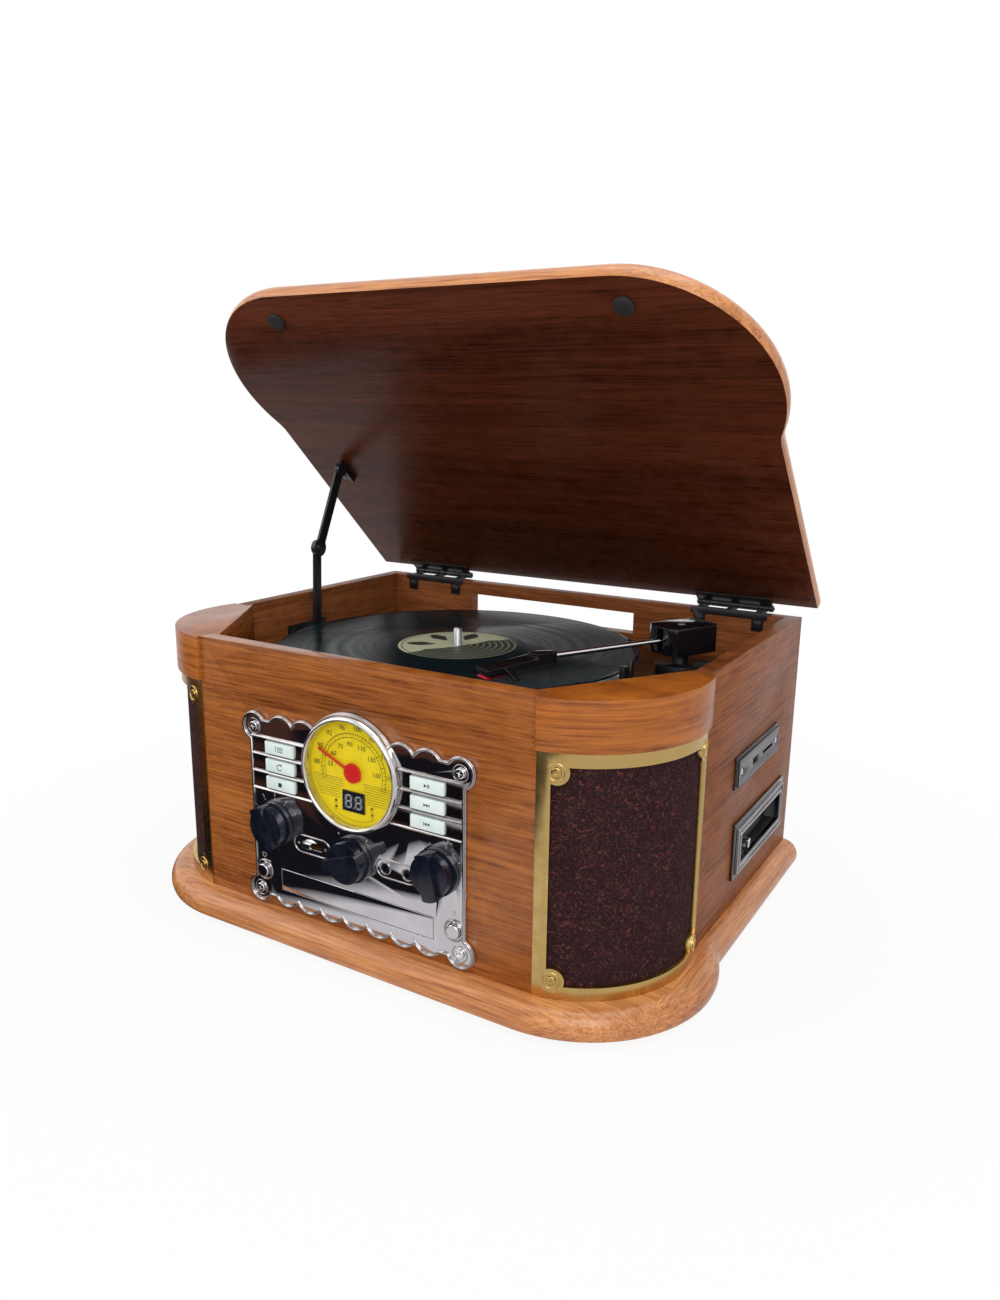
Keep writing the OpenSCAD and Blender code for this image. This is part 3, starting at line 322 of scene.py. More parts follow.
@dataclass(frozen=True)
class Wood(Finish):
    """Varnished wood whose grain runs along the axes with the small stretch."""

    dark: Colour
    light: Colour
    stretch: Point = LEVEL
    figure: float = 0.4
    roughness: float = 0.3
    gloss: float = 0.12
    shine: float = 0.3
    tilt: float = 0.0

    def paint(self, net: Net, shader: bpy.types.Node, vector: Socket) -> None:
        """Grain colour and depth under a thin coat of varnish."""
        tilted = {"Vector": vector, "Angle": math.radians(self.tilt)}
        level = net.add("VectorRotate", tilted, rotation_type="X_AXIS")
        along = net.scaled(level.outputs[0], self.stretch)
        grain = net.place(Effect.GRAIN, Vector=along, Dark=self.dark, Light=self.light, Figure=self.figure)
        net.fill(shader, {
            "Base Color": net.rubbed(vector, grain["Color"], toned(self.light, 1.15, 0.02), 0.3),
            "Roughness": net.handled(vector, self.roughness - 0.05, 0.13)["Roughness"],
            "Specular IOR Level": self.shine,
            "Coat Weight": self.gloss,
            "Coat Roughness": 0.12,
        })
        net.bump(shader, grain["Height"], 0.00006, 0.5)


@dataclass(frozen=True)
class Moulded(Finish):
    """Moulded plastic, paint, print or rubber with a fine texture."""

    colour: Colour
    roughness: float = 0.4
    spread: float = 0.08
    texture: float = 1500.0
    depth: float = 0.00002
    coat: float = 0.0
    shine: float = 0.5

    def paint(self, net: Net, shader: bpy.types.Node, vector: Socket) -> None:
        """Slight changes of tone, smudged gloss and fine bump."""
        tone = net.place(Effect.SPECKLE, Vector=vector, Scale=60.0)["Value"]
        body = net.mix(tone, toned(self.colour, 0.88), toned(self.colour, 1.1, 0.001))
        smudge = net.handled(vector, self.roughness, self.spread)
        net.fill(shader, {
            "Base Color": net.rubbed(vector, body, toned(self.colour, 1.35, 0.02), 0.3),
            "Roughness": smudge["Roughness"],
            "Specular IOR Level": self.shine,
            "Coat Weight": self.coat,
            "Coat Roughness": 0.05,
        })
        fine = net.place(Effect.SPECKLE, Vector=vector, Scale=self.texture)["Value"]
        net.bump(shader, fine, self.depth, 0.5)


@dataclass(frozen=True)
class Metal(Finish):
    """Plated, turned or brushed metal; brushing runs along the axis with the small stretch."""

    colour: Colour
    tarnish: Colour
    roughness: float = 0.08
    spread: float = 0.1
    patina: float = 0.2
    brushed: Point | None = None

    def paint(self, net: Net, shader: bpy.types.Node, vector: Socket) -> None:
        """Bright metal with a little tarnish and handling marks."""
        smudge = net.handled(vector, self.roughness, self.spread)
        tint = net.mix(net.times(smudge["Mask"], self.patina), self.colour, self.tarnish)
        net.fill(shader, {
            "Base Color": net.rubbed(vector, tint, toned(self.colour, 1.1, 0.02)),
            "Roughness": smudge["Roughness"],
            "Metallic": 1.0,
        })
        lines = net.scaled(vector, self.brushed or (1.0, 1.0, 1.0))
        fine = net.place(Effect.SPECKLE, Vector=lines, Scale=2400.0)["Value"]
        net.bump(shader, fine, 0.000012 if self.brushed else 0.000003, 0.4)


@dataclass(frozen=True)
class GrilleCloth(Finish):
    """Loudspeaker cloth with curly yarn, read over a UV map in metres along the bay and up it."""

    ground: Colour
    yarn: Colour
    fleck: Colour
    thread: float = 0.0009
    curl: float = 0.0058

    def paint(self, net: Net, shader: bpy.types.Node, vector: Socket) -> None:
        """Fine weave under short curls of a redder yarn and a few pale flecks."""
        uv = net.add("UVMap", uv_map="cloth").outputs[0]
        waves = (net.calc("SINE", net.times(way, math.pi / self.thread)) for way in net.parts(uv))
        woven = net.times(*waves)
        shifted = net.add("Mapping", {"Vector": uv, "Location": (0.31, 0.17, 0.0)}).outputs[0]
        red_lines = net.gap(net.noise(uv, 1.0 / self.curl, 1.0, Distortion=1.2), 0.5)
        pale_lines = net.gap(net.noise(shifted, 1.3 / self.curl, 1.0, Distortion=1.6), 0.52)
        breaks = net.noise(uv, 2.1 / self.curl, 0.0)
        curls = net.times(net.span(red_lines, 0.045, 0.012), net.span(breaks, 0.44, 0.54))
        pale = net.times(net.span(pale_lines, 0.032, 0.008), net.span(breaks, 0.56, 0.48))
        patch = net.calc("MULTIPLY_ADD", woven, 0.35, net.noise(uv, 34.0, 3.0))
        base = net.mix(net.span(patch, 0.2, 0.85), toned(self.ground, 0.55), self.ground)
        first = net.mix(net.times(curls, 0.85), base, self.yarn)
        net.fill(shader, {
            "Base Color": net.mix(net.times(pale, 0.6), first, self.fleck),
            "Roughness": 0.85,
            "Specular IOR Level": 0.08,
        })
        net.bump(shader, net.calc("MULTIPLY_ADD", woven, 0.25, net.calc("ADD", curls, pale)), 0.0005, 0.8)


@dataclass(frozen=True)
class Vinyl(Finish):
    """Pressed grooves round the axis at centre, with smoother bands between the tracks, and a painted teal
    sheen in the black and in the bands.
    """

    colour: Colour
    centre: Point
    groove: float = 0.0007

    def paint(self, net: Net, shader: bpy.types.Node, vector: Socket) -> None:
        """Radial waves in the normal and in the gloss, a painted teal sheen in the colour and a teal tint on
        the reflection.
        """
        radius = net.about(vector, self.centre)[1]
        waves = net.calc("SINE", net.times(radius, TAU / self.groove))
        line = {"W": net.times(radius, 140.0), "Scale": 1.0, "Detail": 2.0}
        tracks = net.add("TexNoise", line, noise_dimensions="1D").outputs["Fac"]
        track_band_and_sheen = net.span(tracks, 0.40, 0.60)
        net.fill(shader, {
            # Painted sheen: the bands between the tracks are painted a lighter teal.
            "Base Color": net.mix(track_band_and_sheen, self.colour, toned(self.colour, 1.9)),
            "Roughness": net.span(tracks, 0.3, 0.7, 0.16, 0.26),
            "Specular IOR Level": 0.05,
            # Painted reflection: the reflection is tinted teal.
            "Specular Tint": (0.30, 0.80, 1.0),
            "Anisotropic": 0.8,
            "Tangent": net.add("Tangent", direction_type="RADIAL", axis="Z").outputs[0],
        })
        net.bump(shader, net.calc("MULTIPLY_ADD", waves, 0.5, track_band_and_sheen), 0.00003, 0.35)


@dataclass(frozen=True)
class LabelPaper(Finish):
    """A record's paper label: leaf shapes on cream on one side, fine rings on dark on the other."""

    cream: Colour
    dark: Colour
    centre: Point
    radius: float = 0.0495

    def paint(self, net: Net, shader: bpy.types.Node, vector: Socket) -> None:
        """Polar masks about the spindle."""
        local, length = net.about(vector, self.centre)
        reach = net.calc("DIVIDE", length, self.radius)
        x, y = net.parts(local)
        half = net.span(net.calc("ADD", net.times(x, 0.9), net.times(y, -0.44)), 0.0035, 0.0045)
        petal = net.calc("COSINE", net.times(net.calc("ARCTAN2", y, x), 7.0))
        swell = net.calc("SUBTRACT", 1.0, net.times(net.gap(reach, 0.62), 3.6))
        leaves = net.span(net.calc("ADD", petal, swell), 1.05, 1.15)
        rings = net.span(net.calc("SINE", net.times(reach, 60.0)), 0.55, 0.75)
        edge = net.span(net.gap(reach, 0.94), 0.014, 0.006)
        fibre = net.noise(vector, 500.0, 3.0)
        paper = net.mix(fibre, toned(self.cream, 0.85), self.cream)
        left = net.mix(leaves, paper, self.dark)
        right = net.mix(net.times(rings, 0.4), self.dark, paper)
        net.fill(shader, {
            "Base Color": net.mix(edge, net.mix(half, left, right), self.dark),
            "Roughness": net.span(fibre, 0.3, 0.7, 0.45, 0.6),
        })
        net.bump(shader, fibre, 0.00002, 0.4)


@dataclass(frozen=True)
class Glass(Finish):
    """Clear moulded lens."""

    tint: Colour = (0.97, 0.99, 0.98)

    def paint(self, net: Net, shader: bpy.types.Node, vector: Socket) -> None:
        """Clear body with faint smudges."""
        net.fill(shader, {
            "Base Color": net.mix(net.noise(vector, 30.0), self.tint, (1.0, 1.0, 1.0)),
            "Roughness": net.handled(vector, 0.0, 0.012)["Roughness"],
            "Transmission Weight": 1.0,
            "IOR": 1.3,
            "Alpha": 0.12,
        })


SPINDLE = (-24 * MM, 0.0, 0.0)

WOOD_FRONT = Wood("wood_front", "wood", (0.155, 0.034, 0.005), (0.480, 0.155, 0.028))
WOOD_SIDE = Wood(
    "wood_side", "wood", (0.125, 0.032, 0.009), (0.360, 0.118, 0.034), LEVEL, 0.4, 0.4, 0.03, 0.12,
)
# Painted light: the plinth and the lid board take a lighter copy of the case's wood because their top faces
# are well lit; the plinth's and lid's ends share these lighter colours.
WOOD_BOARD_LIT = Wood(
    "wood_board_lit", "wood", (0.330, 0.098, 0.026), (0.780, 0.340, 0.120), ALONG_X, gloss=0.2, shine=0.4,
)
WOOD_PLINTH_END_LIT = replace(WOOD_BOARD_LIT, name="wood_plinth_end_lit", stretch=ALONG_Y)
WOOD_LID_END_LIT = replace(WOOD_PLINTH_END_LIT, name="wood_lid_end_lit", tilt=43.5)
WOOD_CAP = Wood("wood_cap", "wood_trim", (0.230, 0.052, 0.006), (0.540, 0.168, 0.022))
# Painted shade: the lid's underside is the same wood, painted much darker because it faces down into shade.
WOOD_UNDER_SHADED = Wood(
    "wood_under_lid_shaded", "wood", (0.035, 0.006, 0.002), (0.120, 0.028, 0.010), ALONG_X, 0.5, 0.3, 0.05, 0.15,
)
WOOD_BARE = Wood("wood_bare", "board", (0.20, 0.14, 0.09), (0.36, 0.27, 0.18), roughness=0.7, gloss=0.0)
BLACK_GLOSS = Moulded("black_gloss", "black_gloss", (0.006, 0.006, 0.008), 0.08, depth=0.000004, coat=0.3)
KNOB_BLACK = Moulded(
    "knob_black", "black_gloss", (0.003, 0.005, 0.013), 0.2, 0.06, depth=0.000006, coat=0.12, shine=0.35,
)
BLACK_PLASTIC = Moulded("black_plastic", "black_plastic", (0.012, 0.012, 0.015), 0.3)
BLACK_IRON = Moulded("black_iron", "black_iron", (0.010, 0.010, 0.012), 0.28, texture=700.0, depth=0.00004)
RUBBER = Moulded("rubber", "rubber", (0.015, 0.015, 0.016), 0.75, depth=0.00006)
SPEAKER_BLACK = Moulded("speaker_black", "speaker_black", (0.02, 0.02, 0.022), 0.6)
BOARD_GREEN = Moulded("circuit_board", "circuit_board", (0.02, 0.11, 0.045), 0.45)
MINT = Moulded("mint_plastic", "mint_plastic", (0.74, 0.85, 0.81), 0.3, 0.1, depth=0.00001, shine=0.35)
RED_STYLUS = Moulded("stylus_red", "stylus_red", (0.55, 0.008, 0.02), 0.2, depth=0.00001, coat=0.2)
RED_POINTER = Moulded("pointer_red", "pointer_red", (0.62, 0.006, 0.006), 0.35, depth=0.00001, shine=0.3)
RED_RING = Moulded("socket_red", "black_plastic", (0.45, 0.01, 0.01), 0.35)
WHITE_RING = Moulded("socket_white", "black_plastic", (0.65, 0.65, 0.63), 0.35)
DISPLAY_BLACK = Moulded(
    "display_black", "black_gloss", (0.008, 0.008, 0.016), 0.15, depth=0.000004, shine=0.3,
)
YELLOW_CARD = Moulded("dial_yellow", "dial_yellow", (0.84, 0.63, 0.012), 0.6, depth=0.00001, shine=0.15)
DIAL_INK = Moulded("dial_ink", "black_plastic", (0.020, 0.026, 0.006), 0.6, depth=0.000004, shine=0.2)
ICON_INK = Moulded("icon_ink", "black_plastic", (0.02, 0.022, 0.03), 0.5, depth=0.000004)
PLATE_INK = Moulded("plate_ink", "bright_metal", (0.38, 0.38, 0.40), 0.4, depth=0.000004)
DIGIT_GREY = Moulded("digit_grey", "mint_plastic", (0.46, 0.48, 0.52), 0.5, depth=0.000004)
CHROME = Metal("plated_front", "plated_front", (0.66, 0.65, 0.67), (0.40, 0.36, 0.35), 0.03, 0.05)
BEZEL_CHROME = Metal("plated_bezel", "plated_front", (0.70, 0.69, 0.66), (0.40, 0.37, 0.33), 0.07, 0.06)
# Painted shade: the side's plating is the front's plating darkened to the dim reflections seen on the side.
SIDE_CHROME_SHADED = Metal("plated_side_shaded", "plated_front", (0.15, 0.15, 0.16), (0.08, 0.075, 0.08), 0.10, 0.08)
NICKEL = Metal("plated_edge", "plated_front", (0.40, 0.375, 0.37), (0.24, 0.21, 0.20), 0.08, 0.08)
BRIGHT = Metal("bright_metal", "bright_metal", (0.78, 0.78, 0.80), (0.50, 0.48, 0.47), 0.12)
# Painted shade: the plate's brushed metal is darkened to the dim reflections seen on the side.
BRUSHED_SHADED = Metal(
    "brushed_plate_shaded",
    "plated_front",
    (0.090, 0.093, 0.098),
    (0.060, 0.060, 0.065),
    0.22,
    brushed=(1.0, 0.03, 1.0),
)
ALLOY = Metal("platter_alloy", "platter_alloy", (0.55, 0.55, 0.57), (0.35, 0.35, 0.36), 0.3)
STEEL = Metal("motor_steel", "motor_steel", (0.42, 0.42, 0.44), (0.25, 0.24, 0.24), 0.35)
BRASS = Metal("brass", "brass", (0.60, 0.42, 0.150), (0.40, 0.26, 0.085), 0.2)
CLOTH = GrilleCloth(
    "grille_cloth", "grille_cloth", (0.036, 0.0140, 0.017), (0.150, 0.038, 0.044), (0.16, 0.100, 0.060),
)
# Painted sheen: the teal in the record's black stands in for its teal reflections.
VINYL_TEAL_SHEEN = Vinyl("vinyl", "vinyl", (0.0026, 0.0078, 0.0098), SPINDLE)
LABEL = LabelPaper("record_label", "vinyl", (0.62, 0.64, 0.42), (0.022, 0.030, 0.020), SPINDLE)
LENS = Glass("clear_lens", "clear_lens")


# ---------------------------------------------------------------- modelling bench


def mm(x: float, y: float, z: float) -> Point:
    """A point given in millimetres, in metres. The bench itself works in metres."""
    return (x * MM, y * MM, z * MM)


def deselect() -> None:
    """Leaves nothing selected and nothing active."""
    for thing in bpy.context.selected_objects:
        thing.select_set(False)
    bpy.context.view_layer.objects.active = None


def only(thing: bpy.types.Object) -> bpy.types.Object:
    """Makes this the one selected and active object."""
    deselect()
    thing.select_set(True)
    bpy.context.view_layer.objects.active = thing
    return thing


@contextmanager
def editing(thing: bpy.types.Object) -> Iterator[None]:
    """Opens a piece's mesh with all of it selected, and closes it again."""
    only(thing)
    bpy.ops.object.mode_set(mode="EDIT")
    bpy.ops.mesh.select_all(action="SELECT")
    yield
    bpy.ops.object.mode_set(mode="OBJECT")


def apply_all(thing: bpy.types.Object) -> None:
    """Applies every modifier in order."""
    only(thing)
    for modifier in list(thing.modifiers):
        bpy.ops.object.modifier_apply(modifier=modifier.name)


def settle(thing: bpy.types.Object) -> bpy.types.Object:
    """Writes the object's place, turn and size into its mesh."""
    only(thing)
    bpy.ops.object.transform_apply(location=True, rotation=True, scale=True)
    return thing


def move_by(thing: bpy.types.Object, matrix: Matrix) -> bpy.types.Object:
    """Moves the object's mesh by a matrix and leaves the object at the origin."""
    thing.matrix_world = matrix @ thing.matrix_world
    return settle(thing)


def join(parts: Sequence[bpy.types.Object], name: str) -> bpy.types.Object:
    """Joins several objects into one with this name."""
    deselect()
    for part in parts:
        part.select_set(True)
    bpy.context.view_layer.objects.active = parts[0]
    if len(parts) > 1:
        bpy.ops.object.join()
    parts[0].name = name
    return parts[0]


def even_normals(thing: bpy.types.Object) -> bpy.types.Object:
    """Merges doubles and turns all faces outwards."""
    with editing(thing):
        bpy.ops.mesh.remove_doubles(threshold=DOUBLES)
        bpy.ops.mesh.normals_make_consistent(inside=False)
    return thing


def smooth(thing: bpy.types.Object, angle: float = 35.0) -> bpy.types.Object:
    """Shades smooth across edges flatter than angle, in degrees."""
    only(thing)
    bpy.ops.object.shade_smooth_by_angle(angle=math.radians(angle))
    return thing


def chain(name: str, points: Sequence[Point], closed: bool = False) -> bpy.types.Object:
    """Draws a line of edges through points by extruding one vertex.

    Args:
        name: name of the new object.
        points: the places the line passes.
        closed: whether the last point joins the first.

    Returns:
        The new object, in object mode.
    """
    deselect()
    bpy.ops.mesh.primitive_plane_add(size=MM)
    thing = bpy.context.object
    thing.name = name
    route = [Vector(p) for p in points] + ([Vector(points[0])] if closed else [])
    with editing(thing):
        bpy.ops.mesh.merge(type="CENTER")
        bpy.ops.transform.translate(value=route[0])
        for before, after in zip(route, route[1:]):
            bpy.ops.mesh.extrude_vertices_move(TRANSFORM_OT_translate={"value": after - before})
        if closed:
            bpy.ops.mesh.select_all(action="SELECT")
            bpy.ops.mesh.remove_doubles(threshold=DOUBLES)
    return thing


def prism(name: str, outline: Sequence[Point], push: Point) -> bpy.types.Object:
    """Fills a closed outline and extrudes it by push."""
    thing = chain(name, outline, closed=True)
    with editing(thing):
        bpy.ops.mesh.edge_face_add()
        bpy.ops.mesh.extrude_region_move(TRANSFORM_OT_translate={"value": push})
    return even_normals(thing)


def turned(
    name: str, profile: Sequence[Point], centre: Point, axis: Point = Z, steps: int = 48, turn: float = TAU
) -> bpy.types.Object:
    """Spins a profile round an axis.

    Args:
        name: name of the new object.
        profile: points of the line that is spun.
        centre: a point on the axis.
        axis: the axis' direction.
        steps: copies round the turn.
        turn: how far it is spun, in radians.

    Returns:
        The turned object.
    """
    thing = chain(name, profile)
    with editing(thing):
        bpy.ops.mesh.spin(steps=steps, angle=turn, center=centre, axis=axis, use_auto_merge=False)
    return even_normals(thing)


def bead(name: str, points: Sequence[Point], radius: float, sides: int = 3) -> bpy.types.Object:
    """Runs a closed round bead along points and makes it a mesh.

    Args:
        name: name of the new object.
        points: the places the bead's middle passes.
        radius: half the bead's width.
        sides: roundness of the bead's section.

    Returns:
        The bead.
    """
    curve = bpy.data.curves.new(name, "CURVE")
    curve.dimensions = "3D"
    curve.bevel_depth = radius
    curve.bevel_resolution = sides
    line = curve.splines.new("POLY")
    line.points.add(len(points) - 1)
    for knot, place in zip(line.points, points):
        knot.co = (*place, 1.0)
    line.use_cyclic_u = True
    holder = bpy.data.objects.new(name, curve)
    bpy.context.scene.collection.objects.link(holder)
    only(holder)
    bpy.ops.object.convert(target="MESH")
    return smooth(even_normals(bpy.context.object), 60.0)


def lay(flat: Sequence[tuple[float, float]], centre: Point, across: Point, up: Point) -> list[Point]:
    """Takes flat points to the plane of two directions at centre."""
    a, b, c = Vector(across), Vector(up), Vector(centre)
    return [tuple(c + u * a + v * b) for u, v in flat]


def sweep(
    middle: tuple[float, float], radius: float, start: float, turn: float, steps: int,
) -> list[tuple[float, float]]:
    """Flat points of an arc.

    Args:
        middle: the arc's centre.
        radius: the arc's radius.
        start: where it starts, in degrees.
        turn: how far it goes, in degrees.
        steps: how many points after the first.

    Returns:
        The points in order.
    """
    angles = [math.radians(start + turn * i / steps) for i in range(steps + 1)]
    return [(middle[0] + radius * math.cos(a), middle[1] + radius * math.sin(a)) for a in angles]


def circle(centre: Point, radius: float, across: Point, up: Point, steps: int = 40) -> list[Point]:
    """Points of a circle in the plane of two directions."""
    return lay(sweep((0.0, 0.0), radius, 0, 360, steps)[:-1], centre, across, up)


def stadium(
    centre: Point, width: float, height: float, across: Point, up: Point, steps: int = 12,
) -> list[Point]:
    """Points of a slot with round ends in the plane of two directions."""
    half = (width - height) / 2
    ends = [
        sweep((side * half, 0.0), height / 2, start, 180, steps)
        for side, start in ((1, -90), (-1, 90))
    ]
    return lay(sum(ends, []), centre, across, up)


def rectangle(
    centre: Point, width: float, height: float, radius: float, across: Point, up: Point,
) -> list[Point]:
    """Points of a rectangle with round corners of this radius in the plane of two directions."""
    route = []
    for sx, sy, start in ((1, 1, 0), (-1, 1, 90), (-1, -1, 180), (1, -1, 270)):
        route += sweep((sx * (width / 2 - radius), sy * (height / 2 - radius)), radius, start, 90, 4)
    return lay(route, centre, across, up)


def cut(thing: bpy.types.Object, cutter: bpy.types.Object) -> bpy.types.Object:
    """Takes the cutter's shape out of a piece and removes the cutter."""
    modifier = thing.modifiers.new("cut", "BOOLEAN")
    modifier.operation = "DIFFERENCE"
    modifier.object = cutter
    apply_all(thing)
    bpy.data.objects.remove(cutter, do_unlink=True)
    return thing


def block(low: Point, high: Point) -> bpy.types.Object:
    """A box between two corners, to cut with or to shape further."""
    outline = [
        (x, low[1], z)
        for x, z in ((low[0], low[2]), (high[0], low[2]), (high[0], high[2]), (low[0], high[2]))
    ]
    return prism("block", outline, (0.0, high[1] - low[1], 0.0))


def standing(centre: Point, out: Vector, turn: float = 0.0) -> Matrix:
    """Matrix that takes +Z to the direction out at centre, turned about it by turn degrees."""
    upright = out.to_track_quat("Z", "Y").to_matrix().to_4x4()
    return Matrix.Translation(centre) @ upright @ Matrix.Rotation(math.radians(turn), 4, "Z")


@dataclass
class Print:
    """Flat marks that lie on one face, drawn in millimetres across and up."""

    name: str
    thick: float = 0.00004
    marks: list[bpy.types.Object] = field(default_factory=list)

    def keep(self, x: float, y: float, turn: float) -> None:
        """Turns the mark just drawn by turn degrees and places it."""
        mark = bpy.context.object
        mark.location = mm(x, y, 0.0)
        mark.rotation_euler = (0.0, 0.0, math.radians(turn))
        self.marks.append(settle(mark))

    def spot(self, x: float, y: float, r: float, sides: int = 20, turn: float = 0.0) -> None:
        """A filled regular shape, such as a dot or a triangle."""
        deselect()
        bpy.ops.mesh.primitive_circle_add(vertices=sides, radius=r * MM, fill_type="NGON")
        self.keep(x, y, turn)

    def bar(self, x: float, y: float, w: float, h: float, turn: float = 0.0) -> None:
        """A filled bar, w across and h up before it is turned."""
        deselect()
        bpy.ops.mesh.primitive_plane_add(size=MM)
        bpy.context.object.scale = (w, h, 1.0)
        self.keep(x, y, turn)

    def arc(self, x: float, y: float, r: float, w: float, start: float, end: float) -> None:
        """A line w wide along an arc, in degrees from the right."""
        a = math.radians(start)
        ends = [mm(x + k * math.cos(a), y + k * math.sin(a), 0.0) for k in (r - w / 2, r + w / 2)]
        steps = max(4, int(abs(end - start) / 5))
        self.marks.append(turned("arc", ends, mm(x, y, 0.0), (0, 0, -1), steps, math.radians(end - start)))

    def number(self, text: str, x: float, y: float, size: float, turn: float = 0.0) -> None:
        """A plain number of this height centred on a point."""
        deselect()
        bpy.ops.object.text_add()
        words = bpy.context.object
        words.data.body = text
        words.data.size = size * MM * 1.4
        words.data.align_x = "CENTER"
        words.data.align_y = "CENTER"
        words.data.resolution_u = 3
        words.data.offset = size * MM * 0.018
        only(words)
        bpy.ops.object.convert(target="MESH")
        self.keep(x, y, turn)

    def tick(self, x: float, y: float, r: float, angle: float, w: float, h: float) -> None:
        """A bar that points away from x, y, at distance r from it and at an angle in degrees."""
        a = math.radians(angle)
        self.bar(x + r * math.cos(a), y + r * math.sin(a), w, h, math.degrees(a) - 90)

    def on_circle(
        self, text: str, x: float, y: float, r: float, angle: float, size: float, turn: float = 0.0,
    ) -> None:
        """A plain number at distance r from x, y and at an angle in degrees."""
        a = math.radians(angle)
        self.number(text, x + r * math.cos(a), y + r * math.sin(a), size, turn)

    def finish(self, matrix: Matrix) -> bpy.types.Object:
        """Joins the marks, thickens them and lays them on the face that matrix gives."""
        sheet = join(self.marks, self.name)
        with editing(sheet):
            bpy.ops.mesh.remove_doubles(threshold=DOUBLES)
        for polygon in sheet.data.polygons:
            if polygon.normal.z < 0:
                polygon.flip()
        solid = sheet.modifiers.new("thickness", "SOLIDIFY")
        solid.thickness = self.thick
        solid.offset = 1.0
        apply_all(sheet)
        return move_by(even_normals(sheet), matrix)


def body_of(node: str) -> str:
    """The CAD body that a node belongs to."""
    return frame["nodes"][node]["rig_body"]


class Dresser:
    """Makes finished pieces from the frame's own nodes and hands new pieces over to their bodies."""

    def refine(
        self, node: str, finish: Finish, rounding: float = 0.3, segments: int = 2, angle: float = 35.0
    ) -> bpy.types.Object:
        """Stands a merged, softly edged copy in for a node.

        Args:
            node: the CAD node.
            finish: what covers it.
            rounding: width of the rounding on its edges, in millimetres.
            segments: faces across each rounding.
            angle: edges sharper than this are rounded, in degrees.

        Returns:
            The new piece.
        """
        source = frame["nodes"][node]
        piece = source.copy()
        piece.data = source.data.copy()
        piece.name = node + "_piece"
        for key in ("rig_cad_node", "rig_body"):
            del piece[key]
        bpy.context.scene.collection.objects.link(piece)
        piece.parent = None
        with editing(piece):
            bpy.ops.mesh.remove_doubles(threshold=CAD_DOUBLES)
            bpy.ops.mesh.dissolve_limited(angle_limit=math.radians(1.0))
        if rounding > 0:
            bevel = piece.modifiers.new("edge", "BEVEL")
            bevel.width = rounding * MM
            bevel.segments = segments
            bevel.limit_method = "ANGLE"
            bevel.angle_limit = math.radians(angle)
            bevel.harden_normals = False
            apply_all(piece)
        smooth(piece, angle)
        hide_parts(node)
        return self.new(piece, node, finish)

    def several(self, finish: Finish, rounding: float, nodes: Sequence[str], segments: int = 2) -> None:
        """Refines several nodes in the same way."""
        for node in nodes:
            self.refine(node, finish, rounding, segments)

    def new(self, piece: bpy.types.Object, near: str, finish: Finish) -> bpy.types.Object:
        """Covers a piece, makes it ride where a node rides, and logs it."""
        piece.data.materials.clear()
        piece.data.materials.append(finish.build())
        body = body_of(near)
        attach(piece, body)
        LOG.info("%s rides on %s", piece.name, body)
        return piece

    def recolour(
        self, piece: bpy.types.Object, finish: Finish, test: Callable[[Vector, Vector], bool],
    ) -> None:
        """Gives another finish to the faces whose centre, in millimetres, and normal pass the test."""
        piece.data.materials.append(finish.build())
        index = len(piece.data.materials) - 1
        for polygon in piece.data.polygons:
            if test(polygon.center / MM, polygon.normal):
                polygon.material_index = index


# ---------------------------------------------------------------- sub-assemblies


@dataclass
class Levels:
    """Heights, faces and places that the sub-assemblies share, in millimetres, as the CAD has them."""

    base: float = 23.0
    rim: float = 225.0
    cap: float = 191.0
    deck: float = 183.0
    front: float = -167.0
    rear: float = 167.0
    side: float = 215.0
    plate: float = -169.5
    plate_screw_x: float = 90.6
    plate_screw_rise: tuple[float, float] = (13.0, 142.0)
    record_top: float = 201.7
    fittings_rise: float = 38.0


@dataclass
class SubAssembly:
    """One group of pieces that is dressed together."""

    shop: Dresser
    at: Levels

    def build(self) -> None:
        """Dresses the group's nodes and adds its detail."""
        raise NotImplementedError


